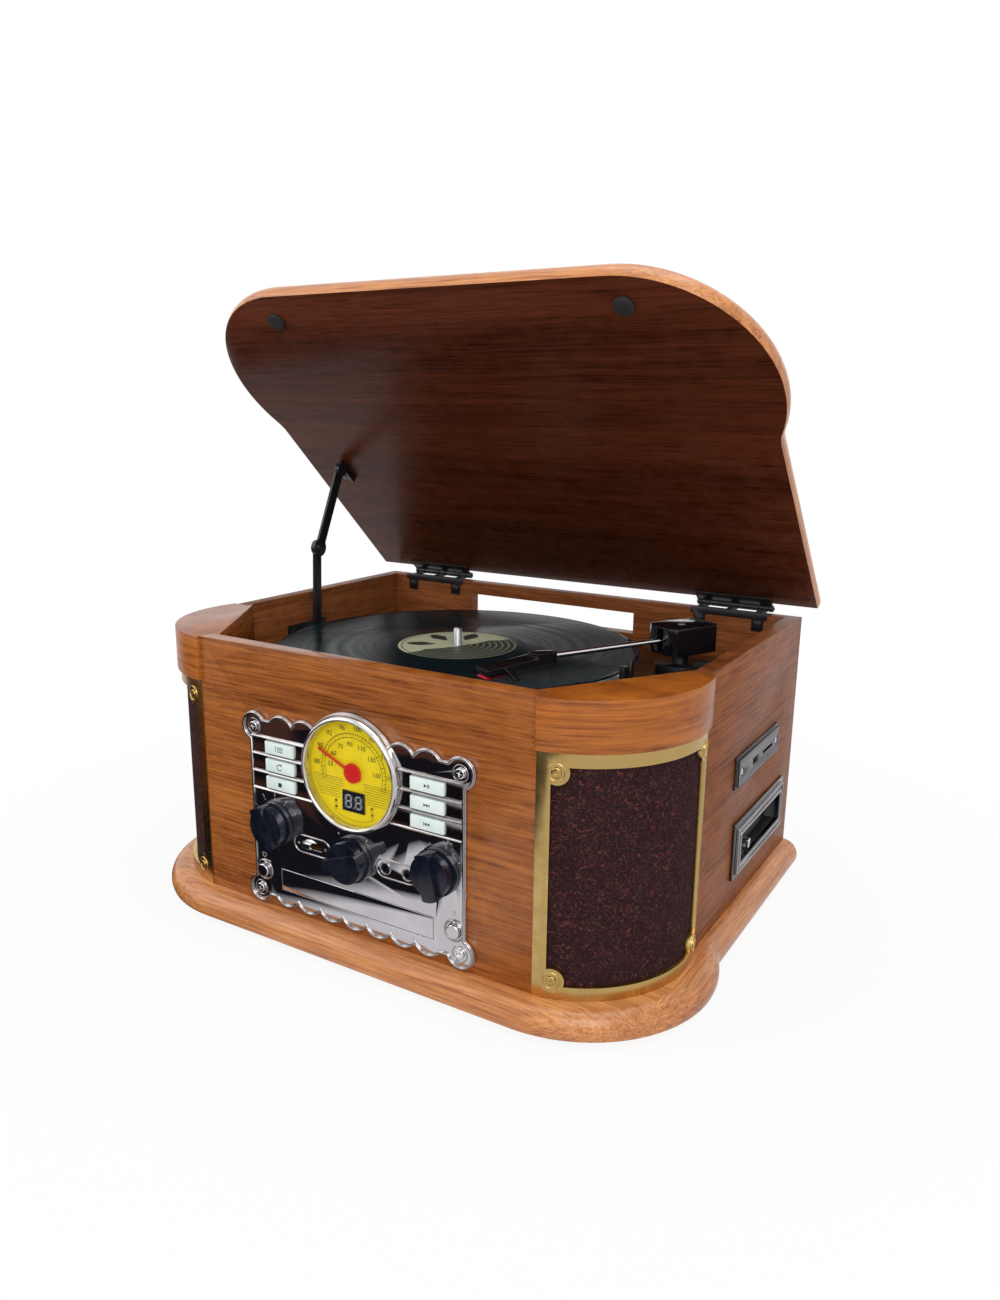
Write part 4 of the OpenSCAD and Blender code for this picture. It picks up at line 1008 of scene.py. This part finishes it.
@dataclass
class Cabinet(SubAssembly):
    """Panels, plinth, corner caps, feet and the parts hidden behind them."""

    line_x: float = 34.0
    line_pitch: float = 14.0
    inlet_x: float = -40.0
    pin_gap: float = 4.0

    def build(self) -> None:
        """Dresses the wooden case and what it holds."""
        # Painted light: the plinth and its ends take the lighter, lit copy of the wood.
        plinth = self.shop.refine("plinth", WOOD_BOARD_LIT, 0.0)
        edge = self.at.side + 1
        self.shop.recolour(plinth, WOOD_PLINTH_END_LIT, lambda c, n: abs(c.x) > edge and abs(n.x) > abs(n.y))
        self.shop.refine("front_panel", WOOD_FRONT)
        self.shop.several(WOOD_SIDE, 0.3, ("side_panels", "rear_panel"))
        self.shop.refine("corner_caps", WOOD_CAP, 0.6)
        self.shop.refine("feet", RUBBER, 1.0)
        self.shop.refine("speaker_baffles", WOOD_BARE)
        self.shop.refine("speakers", SPEAKER_BLACK, 0.0)
        self.shop.several(BLACK_PLASTIC, 0.3, ("cd_mechanism", "cassette_mechanism"))
        self.boards()
        self.rear()

    def boards(self) -> None:
        """Green boards, black display and sockets, dark cans and a steel transformer."""
        piece = self.shop.refine("electronics", BOARD_GREEN, 0.0)
        display, cans = self.at.front + 11.9, self.at.base + 12
        self.shop.recolour(piece, DISPLAY_BLACK, lambda c, n: c.y < display)
        self.shop.recolour(piece, BLACK_PLASTIC, lambda c, n: c.y > 50 and c.x > 0 and c.z > cans)
        self.shop.recolour(piece, STEEL, lambda c, n: c.x < -90 and c.y > 60)

    def rear(self) -> None:
        """Cover with coloured rings round its two line sockets and pins in its inlet."""
        piece = self.shop.refine("rear_cover", BLACK_PLASTIC)
        face, z = self.at.rear + 3.2, self.at.base + self.at.fittings_rise
        for name, shift, ring in (("red", self.line_pitch, RED_RING), ("white", 0.0, WHITE_RING)):
            x = self.line_x - shift
            contact = lambda c, n, m=x: c.y > face and 1.7 < math.hypot(c.x - m, c.z - z) < 4.4
            self.shop.recolour(piece, BRIGHT, contact)
            route = circle(mm(x, face + 0.1, z), 5.4 * MM, X, Z)
            self.shop.new(bead(f"line_socket_ring_{name}", route, 0.9 * MM), "rear_cover", ring)
        profile = [mm(r, 0, h) for r, h in ((0, 0), (1.1, 0), (1.1, 7), (0.6, 8), (0, 8))]
        pins = []
        for dx in (-self.pin_gap, self.pin_gap):
            pin = turned("pin", profile, (0, 0, 0), Z, 16)
            pins.append(move_by(pin, standing(mm(self.inlet_x + dx, self.at.rear - 11, z), Vector(Y))))
        self.shop.new(join(pins, "inlet_pins"), "rear_cover", BRIGHT)


@dataclass
class Grilles(SubAssembly):
    """Brass frames with their cloth and screws over the two curved bays."""

    corner: tuple[float, float] = (134.0, -83.0)
    radius: float = 85.5
    angles: tuple[float, float] = (-73.90, 7.59)
    margin: float = 13.0
    seat_r: float = 5.6
    cover_screw_x: float = 57.0
    cover_screw_rise: tuple[float, float] = (29.0, 75.0)

    def build(self) -> None:
        """Dresses both bays."""
        self.shop.refine("grille_frames", BRASS, 1.6, 4)
        self.map_cloth(self.shop.refine("grille_cloths", CLOTH, 0.0))
        self.screws()
        self.seats()

    def map_cloth(self, cloth: bpy.types.Object) -> None:
        """Lays the cloth's UV map round each bay and up it, in metres."""
        layer = cloth.data.uv_layers.new(name="cloth")
        for loop in cloth.data.loops:
            point = cloth.data.vertices[loop.vertex_index].co
            side = 1.0 if point.x > 0 else -1.0
            angle = math.atan2(point.y - self.corner[1] * MM, side * point.x - self.corner[0] * MM)
            layer.data[loop.index].uv = (side * angle * self.radius * MM, point.z)

    def places(self) -> list[tuple[Vector, Vector]]:
        """Centre on the frame's face and outward direction of each grille screw."""
        out = []
        for side in (-1, 1):
            for angle in self.angles:
                a = math.radians(angle)
                way = Vector((side * math.cos(a), math.sin(a), 0.0))
                for z in (self.at.base + self.margin, self.at.cap - self.margin):
                    middle = Vector((side * self.corner[0], self.corner[1], z))
                    out.append(((middle + way * self.radius) * MM, way))
        return out

    def screws(self) -> None:
        """Cross recesses in the screws of the grilles, the front plate and the rear cover."""
        piece = self.shop.refine("case_screws", BRASS, 0.5)
        heads = [(place + way * 0.9 * MM, way, 1.9) for place, way in self.places()]
        for side in (-1, 1):
            for rise in self.at.plate_screw_rise:
                place = Vector((side * self.at.plate_screw_x, self.at.plate - 1.5, self.at.base + rise))
                heads.append((place * MM, FORWARD, 2.3))
            for rise in self.cover_screw_rise:
                place = Vector((side * self.cover_screw_x, self.at.rear + 4.6, self.at.base + rise))
                heads.append((place * MM, Vector(Y), 2.0))
        crosses = []
        for number, (place, way, reach) in enumerate(heads):
            for turn in (20 * number, 20 * number + 90):
                arm = block(mm(-reach, -0.38, -0.8), mm(reach, 0.38, 0.6))
                crosses.append(move_by(arm, standing(tuple(place), way, turn)))
        for arms in (crosses[0::2], crosses[1::2]):
            cut(piece, join(arms, "crosses"))
        smooth(piece)
        self.shop.recolour(piece, BRIGHT, lambda c, n: c.y < self.at.front + 11 and abs(c.x) < 100)
        self.shop.recolour(piece, BLACK_IRON, lambda c, n: c.y > self.at.rear)

    def seats(self) -> None:
        """A raised ring round each grille screw."""
        rings = []
        for place, way in self.places():
            route = circle(tuple(place), self.seat_r * MM, tuple(Vector(Z).cross(way)), Z, 32)
            rings.append(bead("seat", route, 0.6 * MM, 2))
        self.shop.new(join(rings, "grille_screw_seats"), "grille_frames", BRASS)


@dataclass
class Deck(SubAssembly):
    """Deck plate, platter, record and the small controls beside them."""

    speeds: tuple[tuple[str, float], ...] = (("33", -38.0), ("45", -29.0), ("78", -20.0))
    speed_x: float = 178.5

    def build(self) -> None:
        """Dresses the record deck."""
        self.shop.refine("deck_plate", BLACK_GLOSS, 0.4)
        self.shop.refine("platter", ALLOY, 0.4)
        self.shop.refine("platter_mat", RUBBER)
        self.shop.refine("spindle", STEEL)
        self.shop.refine("vinyl_record", VINYL_TEAL_SHEEN, 0.0)
        self.shop.refine("speed_switch", BRIGHT)
        for node, finish in (("drive_belt", RUBBER), ("turntable_motor", STEEL), ("motor_pulley", BRASS)):
            self.shop.refine(node, finish, 0.0)
        self.label()
        self.marks()

    def label(self) -> None:
        """Paper label with a softly pressed edge."""
        top, x = self.at.record_top, SPINDLE[0] / MM
        profile = ((3.8, 0), (3.8, 0.14), (14, 0.18), (48.6, 0.16), (49.4, 0.1), (49.5, 0), (3.8, 0))
        points = [mm(x + r, 0.0, top + h) for r, h in profile]
        self.shop.new(smooth(turned("record_label", points, SPINDLE, Z, 96)), "vinyl_record", LABEL)

    def marks(self) -> None:
        """Numbers for the speeds beside the switch."""
        sheet = Print("speed_marks")
        for text, y in self.speeds:
            sheet.number(text, self.speed_x, y, 3.4)
        face = Matrix.Translation(mm(0, 0, self.at.deck + 0.02))
        self.shop.new(sheet.finish(face), "deck_plate", PLATE_INK)


@dataclass
class Tonearm(SubAssembly):
    """Tonearm, its base and its cue lever."""

    pivot: tuple[float, float] = (138.0, 88.0)

    def build(self) -> None:
        """Dresses the tonearm."""
        self.shop.refine("tonearm_base", BLACK_PLASTIC, 0.8)
        self.shop.refine("tonearm_housing", BLACK_GLOSS, 1.4, 3)
        self.shop.refine("tonearm_tube", BRIGHT)
        self.shop.refine("headshell", BLACK_GLOSS, 1.2, 3)
        self.shop.refine("stylus", RED_STYLUS, 0.4)
        self.shop.refine("cue_lever", BLACK_PLASTIC, 0.6)
        self.cap()

    def cap(self) -> None:
        """Turned screw in the top of the tonearm's housing."""
        (x, y), top = self.pivot, self.at.rim - 1.5
        points = [mm(x + r, y, top + h) for r, h in ((0.0, 0.5), (2.6, 0.5), (3.2, 0.2), (3.3, -0.1))]
        screw = smooth(turned("housing_screw", points, mm(x, y, 0), Z, 32))
        slot = block(mm(x - 4, y - 0.35, top + 0.15), mm(x + 4, y + 0.35, top + 1))
        self.shop.new(cut(screw, slot), "tonearm_housing", STEEL)


@dataclass
class Lid(SubAssembly):
    """Lid board, bumpers, hinges and stay."""

    def build(self) -> None:
        """Dresses the lid and its ironmongery."""
        # Painted light: the lid board and its ends take the lighter, lit copy of the wood.
        board = self.shop.refine("lid", WOOD_BOARD_LIT, 0.0)
        turn = math.radians(WOOD_LID_END_LIT.tilt)
        under = Vector((0.0, -math.sin(turn), -math.cos(turn)))
        # Painted shade: the underside faces get the much darker, shaded copy of the wood.
        self.shop.recolour(board, WOOD_UNDER_SHADED, lambda c, n: n.dot(under) > 0.97)
        self.shop.recolour(board, WOOD_LID_END_LIT, lambda c, n: abs(n.x) > 0.7)
        stay = ("stay_base_bracket", "stay_lower_arm", "stay_upper_arm", "stay_lid_bracket")
        self.shop.several(BLACK_IRON, 0.4, ("lid_hinge_leaves", "body_hinge_leaves", *stay))
        self.shop.refine("lid_bumpers", RUBBER, 1.0, 3)


@dataclass
class FrontPlate(SubAssembly):
    """Scalloped plate with the dial, buttons, knobs and tray."""

    dial_z: float = 146.0
    dial_clear: float = 43.1
    button_x: float = 65.2
    button_top: float = 151.5
    button_step: float = 13.5
    button_size: tuple[float, float] = (27.2, 9.2)
    button_clear: float = 0.4
    rib_inner: float = 28.0
    rib_outer: float = 92.4
    knob_x: float = 73.0
    knob_z: float = 92.5
    knob_r: float = 17.0
    middle_z: float = 82.5
    window_x: float = 38.0
    sockets: tuple[float, float] = (28.5, 47.5)
    round_button: tuple[float, float] = (86.0, 52.0)

    def build(self) -> None:
        """Dresses the front plate and its controls."""
        self.shop.refine("faceplate", CHROME, 0.5)
        smooth(self.shop.refine("dial_bezel", BEZEL_CHROME, 0.4, angle=20.0), 50.0)
        self.shop.refine("dial_face", YELLOW_CARD, 0.0)
        self.shop.refine("dial_lens", LENS, 0.0)
        self.shop.refine("dial_pointer", RED_POINTER, 0.4)
        for node in ("function_knob", "tuning_knob", "volume_knob"):
            self.shop.refine(node, KNOB_BLACK, 2.2, 5, 30.0)
        self.shop.refine("band_switch", BRIGHT, 0.4)
        for name in ("program", "repeat", "stop", "play", "next", "previous"):
            self.shop.refine(name + "_button", MINT, 0.4)
        self.shop.several(CHROME, 1.0, ("power_button", "open_close_button"), 3)
        tray = self.shop.refine("cd_tray", CHROME)
        self.shop.recolour(tray, BLACK_PLASTIC, lambda c, n: c.y > self.at.front + 0.6)
        self.edge()
        self.ribs()
        self.rings()
        self.icons()
        self.plate_marks()
        self.dial_print()
        self.digits()

    def mark(self, sheet: Print, x: float, y: float, z: float, node: str, ink: Finish) -> None:
        """Lays a print on a front face of a node, with the print's zero at x, y and z."""
        face = Matrix.Translation(mm(x, y, z)) @ Matrix.Rotation(math.radians(90), 4, "X")
        self.shop.new(sheet.finish(face), node, ink)

    def outline(self) -> list[Vector]:
        """The plate's outline, read from the CAD plate's front face."""
        work = bmesh.new()
        work.from_mesh(frame["nodes"]["faceplate"].data)
        bmesh.ops.remove_doubles(work, verts=work.verts, dist=CAD_DOUBLES)
        level = min(v.co.y for v in work.verts)
        ahead = (f for f in work.faces if f.normal.y < -0.99)
        facing = {f for f in ahead if abs(f.calc_center_median().y - level) < 1e-5}
        steps: dict[bmesh.types.BMVert, list[bmesh.types.BMVert]] = {}
        for edge in work.edges:
            if sum(f in facing for f in edge.link_faces) == 1:
                a, b = edge.verts
                steps.setdefault(a, []).append(b)
                steps.setdefault(b, []).append(a)
        loops, seen = [], set()
        for start in steps:
            if start in seen:
                continue
            route, here = [], start
            while here not in seen:
                seen.add(here)
                route.append(here.co.copy())
                here = next((v for v in steps[here] if v not in seen), here)
            loops.append(route)
        work.free()
        return max(loops, key=lambda r: max(p.x for p in r) - min(p.x for p in r))

    def edge(self, inset: float = 1.35, radius: float = 1.15) -> None:
        """Raised bead that follows the scalloped outline.

        Args:
            inset: how far inside the outline its middle runs, in millimetres.
            radius: half its width, in millimetres.
        """
        route = self.outline()
        area = sum(a.x * b.z - b.x * a.z for a, b in zip(route, route[1:] + route[:1]))
        inward = 1.0 if area > 0 else -1.0
        inner = []
        for before, here, after in zip(route[-1:] + route[:-1], route, route[1:] + route[:1]):
            a, b = (here - before).normalized(), (after - here).normalized()
            normal = Vector((-(a.z + b.z), 0.0, a.x + b.x)) * inward
            if normal.length > 1e-6:
                step = normal.normalized() * inset * MM / max(0.45, normal.length / 2)
                inner.append(tuple(here + step + Vector(mm(0, -0.2, 0))))
        self.shop.new(bead("plate_edge_bead", inner, radius * MM), "faceplate", NICKEL)

    def rib_profile(self) -> list[tuple[float, float]]:
        """Height and lift along a fluted strip, with a ridge above and below each row of buttons."""
        step, top = self.button_step, self.button_top + self.button_step / 2
        profile = []
        for row in range(3):
            high = top - row * step
            for dz, lift in ((1.1, 0.15), (0.75, 1.15), (0.0, 1.6), (-0.75, 1.15), (-1.1, 0.75)):
                profile.append((high + dz, lift))
            for i in range(1, 8):
                u = i / 4 - 1
                profile.append((high - step / 2 - u * (step / 2 - 1.2), 0.2 + 0.5 * u * u))
        last = ((1.1, 0.75), (0.75, 1.15), (0.0, 1.6), (-0.75, 1.15), (-1.1, 0.15))
        return profile + [(top - 3 * step + dz, lift) for dz, lift in last]

    def ribs(self) -> None:
        """Fluted strips on both sides of the dial, cut out round the buttons and the dial."""
        profile, plate = self.rib_profile(), self.at.plate
        w, h = (size / 2 + self.button_clear for size in self.button_size)
        strips = []
        for side in (-1, 1):
            x = side * self.rib_inner
            outline = [mm(x, plate - lift, z) for z, lift in profile]
            outline += [mm(x, plate + 0.05, profile[end][0]) for end in (-1, 0)]
            strip = prism("strip", outline, mm(side * (self.rib_outer - self.rib_inner), 0.0, 0.0))
            for row in range(3):
                x, z = side * self.button_x, self.button_top - row * self.button_step
                cut(strip, block(mm(x - w, plate - 3, z - h), mm(x + w, plate + 1, z + h)))
            r = self.dial_clear
            core = turned("core", [mm(0, 0, -3), mm(r, 0, -3), mm(r, 0, 5), mm(0, 0, 5)], (0, 0, 0), Z, 96)
            cut(strip, move_by(core, standing(mm(0.0, plate, self.dial_z), FORWARD)))
            strips.append(smooth(even_normals(strip), 30.0))
        self.shop.new(join(strips, "button_ribs"), "faceplate", NICKEL)

    def rings(self) -> None:
        """Raised outlines round the sockets, the band switch, the round buttons and the screws."""
        y = self.at.plate - 0.1
        made = []

        def ring(x: float, z: float, radius: float, half: float, sides: int = 3) -> None:
            """Adds a ring whose bead is twice half wide."""
            made.append(bead("ring", circle(mm(x, y, z), radius * MM, X, Z), half * MM, sides))

        for side in (-1, 1):
            centre = mm(side * self.window_x, y, self.middle_z)
            made.append(bead("ring", stadium(centre, 34 * MM, 13.5 * MM, X, Z), 0.6 * MM))
            ring(side * self.round_button[0], self.round_button[1], 7.4, 0.8)
            for rise in self.at.plate_screw_rise:
                ring(side * self.at.plate_screw_x, self.at.base + rise, 5.8, 0.45, 2)
        for x in self.sockets:
            ring(x, self.middle_z, 4.3, 0.5, 2)
        self.shop.new(join(made, "plate_rings"), "faceplate", NICKEL)

    def icons(self) -> None:
        """Plain transport marks on the six pale buttons, each as bars, spots and arcs."""
        lines = [("bar", 1.2, y, 5.4, 0.6) for y in (1.5, 0.0, -1.5)]
        dots = [("spot", -3.0, y, 0.5, 12) for y in (1.5, 0.0, -1.5)]
        play = [("spot", -1.2, 0, 1.5, 3, -90), ("bar", 1.0, 0, 0.6, 2.6), ("bar", 2.1, 0, 0.6, 2.6)]
        onward, back = ([
            ("spot", side * -1.7, 0, 1.4, 3, side * -90),
            ("spot", side * 0.5, 0, 1.4, 3, side * -90),
            ("bar", side * 2.2, 0, 0.6, 2.6),
        ] for side in (1, -1))
        icons = (
            (-1, 0, "program", [mark for pair in zip(lines, dots) for mark in pair]),
            (-1, 1, "repeat", [("arc", 0, 0, 2.2, 0.6, 60, 330), ("spot", 1.7, 1.9, 1.1, 3, 20)]),
            (-1, 2, "stop", [("bar", 0, 0, 3.2, 3.2)]),
            (1, 0, "play", play),
            (1, 1, "next", onward),
            (1, 2, "previous", back),
        )
        for side, row, name, marks in icons:
            sheet = Print(name + "_icon")
            for kind, *values in marks:
                getattr(sheet, kind)(*values)
            x, z = side * self.button_x, self.button_top - row * self.button_step
            self.mark(sheet, x, self.at.plate - 2.02, z, name + "_button", ICON_INK)

    def plate_marks(self) -> None:
        """Ticks and plain numbers round the knobs, and marks for power, eject and the sockets."""
        sheet = Print("plate_marks")
        x, z, r, low = self.knob_x, self.knob_z, self.knob_r, self.middle_z
        for i in range(5):
            angle = 150 - 30 * i
            sheet.tick(-x, z, r + 2.2, angle, 0.45, 1.6)
            sheet.on_circle(str(i + 1), -x, z, r + 5.2, angle, 2.6, angle - 90)
        for i in range(13):
            tall = 0.7 + 0.15 * i
            sheet.tick(x, z, r + 1.6 + tall / 2, 210 - 20 * i, 0.5, tall)
        sheet.number("0", x - (r + 4.6), z - 9.5, 2.6)
        sheet.number("10", x + (r + 4.2), z - 12.0, 2.6)
        for side, turn in ((-1, 115), (1, 5)):
            sheet.spot(side * 12.5, low + r - 0.5, 1.1, 3, turn)
        end = self.round_button[0]
        sheet.arc(-end, 64.3, 1.9, 0.5, 125, 415)
        sheet.bar(-end, 65.9, 0.5, 1.9)
        sheet.spot(end, 65.6, 1.7, 3)
        sheet.bar(end, 63.4, 3.0, 0.6)
        sheet.spot(-50.5, low, 0.9, 16)
        sheet.arc(-25.5, low, 0.8, 0.3, 0, 360)
        self.mark(sheet, 0, self.at.plate - 0.02, 0, "faceplate", PLATE_INK)

    def dial_print(self) -> None:
        """Number scales, arcs, ticks and ruled lines on the dial."""
        sheet = Print("dial_print")
        outer, low_end, high_end = 28.6, 198, -18
        for r in (outer, 25.6):
            sheet.arc(0, 0, r, 0.45, low_end, high_end)
        for i in range(37):
            tall = 3.0 if i % 3 == 0 else 1.5
            sheet.tick(0, 0, outer - tall / 2, low_end - 6 * i, 0.42, tall)
        fm_scale = (88, 176), (90, 153), (92, 129), (96, 106), (100, 82), (104, 56), (106, 31), (108, 4)
        am_scale = (53, 172), (60, 147), (70, 122), (90, 97), (110, 68), (130, 38), (160, 6)
        for scale, r, size in ((fm_scale, 32.8, 3.7), (am_scale, 20.6, 3.5)):
            for value, angle in scale:
                sheet.on_circle(str(value), 0, 0, r, angle, size)
        for i in range(9):
            v = -6.5 - 1.75 * i
            reach = math.sqrt(36.6 ** 2 - v ** 2)
            inner = 9.0 if v > -12.5 else 12.0
            for side in (-1, 1):
                sheet.bar(side * (reach + inner) / 2, v, reach - inner, 0.34)
        for side in (-1, 1):
            for v in (-23.4, -28.0):
                sheet.spot(side * 16.0, v, 1.2, 16)
                sheet.bar(side * 16.0, v - 2.2, 3.2, 0.35)
        sheet.arc(0, 0, 35.8, 0.25, 240, 300)
        self.mark(sheet, 0, self.at.front - 0.02, self.dial_z, "dial_face", DIAL_INK)

    def digits(self) -> None:
        """Two seven-stroke figures and a point in the display window."""
        sheet = Print("display_digits")
        w, h, t = 4.6, 8.8, 0.75
        for x in (-4.4, 4.4):
            for v in (-h / 2, 0.0, h / 2):
                sheet.bar(x, v, w - 1.0, t)
            for side in (-1, 1):
                for v in (-h / 4, h / 4):
                    sheet.bar(x + side * w / 2, v, t, h / 2 - 0.9)
        sheet.spot(0.1, -h / 2, 0.5, 12)
        self.mark(sheet, 0, self.at.front - 0.52, self.dial_z - 21.5, "dial_face", DIGIT_GREY)


@dataclass
class TapeSide(SubAssembly):
    """Cassette slot and the USB and card plate."""

    slot_y: float = 76.0
    slot_z: float = 69.0
    usb_y: float = 59.5
    usb_z: float = 134.0
    usb_screw: float = 43.5

    def build(self) -> None:
        """Dresses the right side's fittings."""
        # Painted shade: the cassette bezel takes the darkened copy of the plating.
        self.shop.refine("cassette_bezel", SIDE_CHROME_SHADED, 0.5)
        # Painted shade: the USB plate takes the darkened brushed metal.
        plate = self.shop.refine("usb_plate", BRUSHED_SHADED, 0.5)
        floor, y, z = self.at.side + 3.0, self.usb_y, self.usb_z
        slots = lambda c, n: c.x < floor and abs(c.y - y) < 42 and abs(c.z - z) < 4.4
        self.shop.recolour(plate, BLACK_PLASTIC, slots)
        self.shop.refine("cassette_flap", BLACK_PLASTIC)
        self.shop.refine("cassette_button", CHROME, 0.6)
        self.frames()
        self.plate_screws()

    def frames(self) -> None:
        """Bright lines along the bezel's outer step and round its mouth."""
        centre = mm(self.at.side + 4.0, self.slot_y, self.slot_z)
        outer = bead("line", rectangle(centre, 116.5 * MM, 36.5 * MM, 1.5 * MM, Y, Z), 0.55 * MM, 2)
        inner = bead("line", rectangle(centre, 106.2 * MM, 26.2 * MM, 1.0 * MM, Y, Z), 0.8 * MM)
        self.shop.new(join([outer, inner], "cassette_bezel_lines"), "cassette_bezel", NICKEL)

    def plate_screws(self) -> None:
        """Small cross-head screws in the two seats of the plate."""
        profile = ((0.0, 0.9), (1.4, 0.85), (2.4, 0.45), (2.8, 0.0), (2.8, -0.4))
        made = []
        for side in (-1, 1):
            screw = turned("screw", [mm(r, 0.0, h) for r, h in profile], (0, 0, 0), Z, 28)
            for turn in (30, 120):
                arm = block(mm(-1.6, -0.3, 0.35), mm(1.6, 0.3, 2))
                cut(screw, move_by(arm, Matrix.Rotation(math.radians(turn), 4, "Z")))
            place = mm(self.at.side + 2.7, self.usb_y + side * self.usb_screw, self.usb_z)
            made.append(smooth(move_by(screw, standing(place, Vector(X)))))
        self.shop.new(join(made, "usb_plate_screws"), "usb_plate", BRIGHT)


# ---------------------------------------------------------------- studio


WHITE = (1.0, 1.0, 1.0)


@dataclass
class Studio:
    """Pale floor, soft lamps and the camera at the photograph's angle."""

    eye: Point = (0.4222, -0.6732, 0.3920)
    turn: float = 31.03
    tilt: float = 13.54
    roll: float = 0.71
    lens: float = 35.81
    floor_half: float = 6.0

    def build(self) -> None:
        """Makes the floor, world, lamps and camera."""
        self.floor()
        self.world()
        self.lamp("key", (1.1, -1.5, 1.4), 1.2, 18.0)
        self.lamp("fill", (-1.5, -1.0, 1.2), 1.3, 8.0)
        self.lamp("top", (0.2, 0.1, 2.4), 1.6, 19.0)
        self.camera()

    def floor(self) -> None:
        """A pale floor: white to the lens with the object's shadow, and darker to the left in reflections."""
        deselect()
        bpy.ops.mesh.primitive_grid_add(x_subdivisions=2, y_subdivisions=2, size=2 * self.floor_half)
        ground = bpy.context.object
        ground.name = "studio_floor"
        material = bpy.data.materials.new("studio_floor")
        material.use_nodes = True
        nodes = material.node_tree.nodes
        nodes.remove(nodes["Principled BSDF"])
        net = Net(material.node_tree)
        vector = net.add("TexCoord").outputs["Object"]
        x, y = net.parts(vector)
        tone = net.noise(vector, 3.0)

        def blend(factor, a: bpy.types.Node, b: bpy.types.Node) -> bpy.types.Node:
            """Mixes two shaders."""
            return net.add("MixShader", {0: factor, 1: a.outputs[0], 2: b.outputs[0]})

        cloth = net.add("BsdfDiffuse", {"Color": net.mix(tone, (0.84, 0.84, 0.84), (0.87, 0.87, 0.87))})
        white = net.add("Emission", {"Color": WHITE, "Strength": 1.0})
        away = net.vector("LENGTH", vector, output="Value")
        lens_view = blend(net.span(away, 0.30, 0.62), blend(0.9, cloth, white), white)
        slope = net.calc("ADD", net.calc("ADD", x, 0.111), net.times(net.calc("ADD", y, 0.235), 0.395))
        pale = net.span(net.calc("MULTIPLY_ADD", tone, 0.06, slope), 0.035, 0.095)
        bright = net.calc("MAXIMUM", pale, net.span(y, -0.14, 0.0))
        dark = net.mix(net.span(x, -0.28, -0.42), (0.010, 0.009, 0.012), (0.075, 0.030, 0.022))
        mirror = net.add("Emission", {"Color": net.mix(bright, dark, (0.74, 0.72, 0.74)), "Strength": 1.0})
        path = net.add("LightPath").outputs
        surface = blend(path["Is Glossy Ray"], blend(path["Is Camera Ray"], cloth, lens_view), mirror)
        net.fill(nodes["Material Output"], {"Surface": surface.outputs[0]})
        ground.data.materials.append(material)
        settle(ground)

    def world(self) -> None:
        """A white backdrop to the lens and in reflections, and a plain soft light otherwise."""
        world = bpy.data.worlds.new("studio")
        bpy.context.scene.world = world
        world.use_nodes = True
        nodes = world.node_tree.nodes
        net = Net(world.node_tree)
        soft = net.fill(nodes["Background"], {"Color": WHITE, "Strength": 0.5})
        white = net.add("Background", {"Color": WHITE, "Strength": 1.0})
        path = net.add("LightPath").outputs
        through = net.calc("MAXIMUM", path["Is Glossy Ray"], path["Is Transmission Ray"])
        seen = net.calc("MAXIMUM", path["Is Camera Ray"], through)
        joined = net.add("MixShader", {0: seen, 1: soft.outputs[0], 2: white.outputs[0]})
        net.fill(nodes["World Output"], {"Surface": joined.outputs[0]})

    def lamp(self, name: str, place: Point, size: float, power: float) -> None:
        """Adds one soft square lamp that faces the object.

        Args:
            name: the lamp's name.
            place: where it stands, in metres.
            size: length of its sides, in metres.
            power: its power, in watts.
        """
        light = bpy.data.lights.new(name, "AREA")
        light.size = size
        light.energy = power
        holder = bpy.data.objects.new(name, light)
        bpy.context.scene.collection.objects.link(holder)
        holder.location = place
        towards = Vector((0.0, 0.0, 0.15)) - Vector(place)
        holder.rotation_euler = towards.to_track_quat("-Z", "Y").to_euler()

    def camera(self) -> None:
        """Adds the camera at the photograph's place, turn and lens."""
        turn, tilt, roll = (math.radians(a) for a in (self.turn, self.tilt, self.roll))
        ahead = Vector((-math.sin(turn) * math.cos(tilt), math.cos(turn) * math.cos(tilt), -math.sin(tilt)))
        right = Vector((math.cos(turn), math.sin(turn), 0.0))
        up = right.cross(ahead)
        level = (right * math.cos(roll) + up * math.sin(roll), up * math.cos(roll) - right * math.sin(roll))
        data = bpy.data.cameras.new("camera")
        data.sensor_fit = "HORIZONTAL"
        data.sensor_width = 36.0
        data.lens = self.lens
        data.clip_start = 0.01
        holder = bpy.data.objects.new("camera", data)
        bpy.context.scene.collection.objects.link(holder)
        rotation = Matrix((level[0], level[1], -ahead)).transposed().to_4x4()
        holder.matrix_world = Matrix.Translation(self.eye) @ rotation
        bpy.context.scene.camera = holder


def main() -> None:
    """Builds every sub-assembly in order, then the studio."""
    logging.basicConfig(level=logging.INFO, format="%(message)s")
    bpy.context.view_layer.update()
    shop, at = Dresser(), Levels()
    for part in (Cabinet, Grilles, Deck, Tonearm, Lid, FrontPlate, TapeSide):
        part(shop, at).build()
    Studio().build()
    bpy.context.scene.view_settings.view_transform = "Standard"
    deselect()


if __name__ == "__main__":
    main()
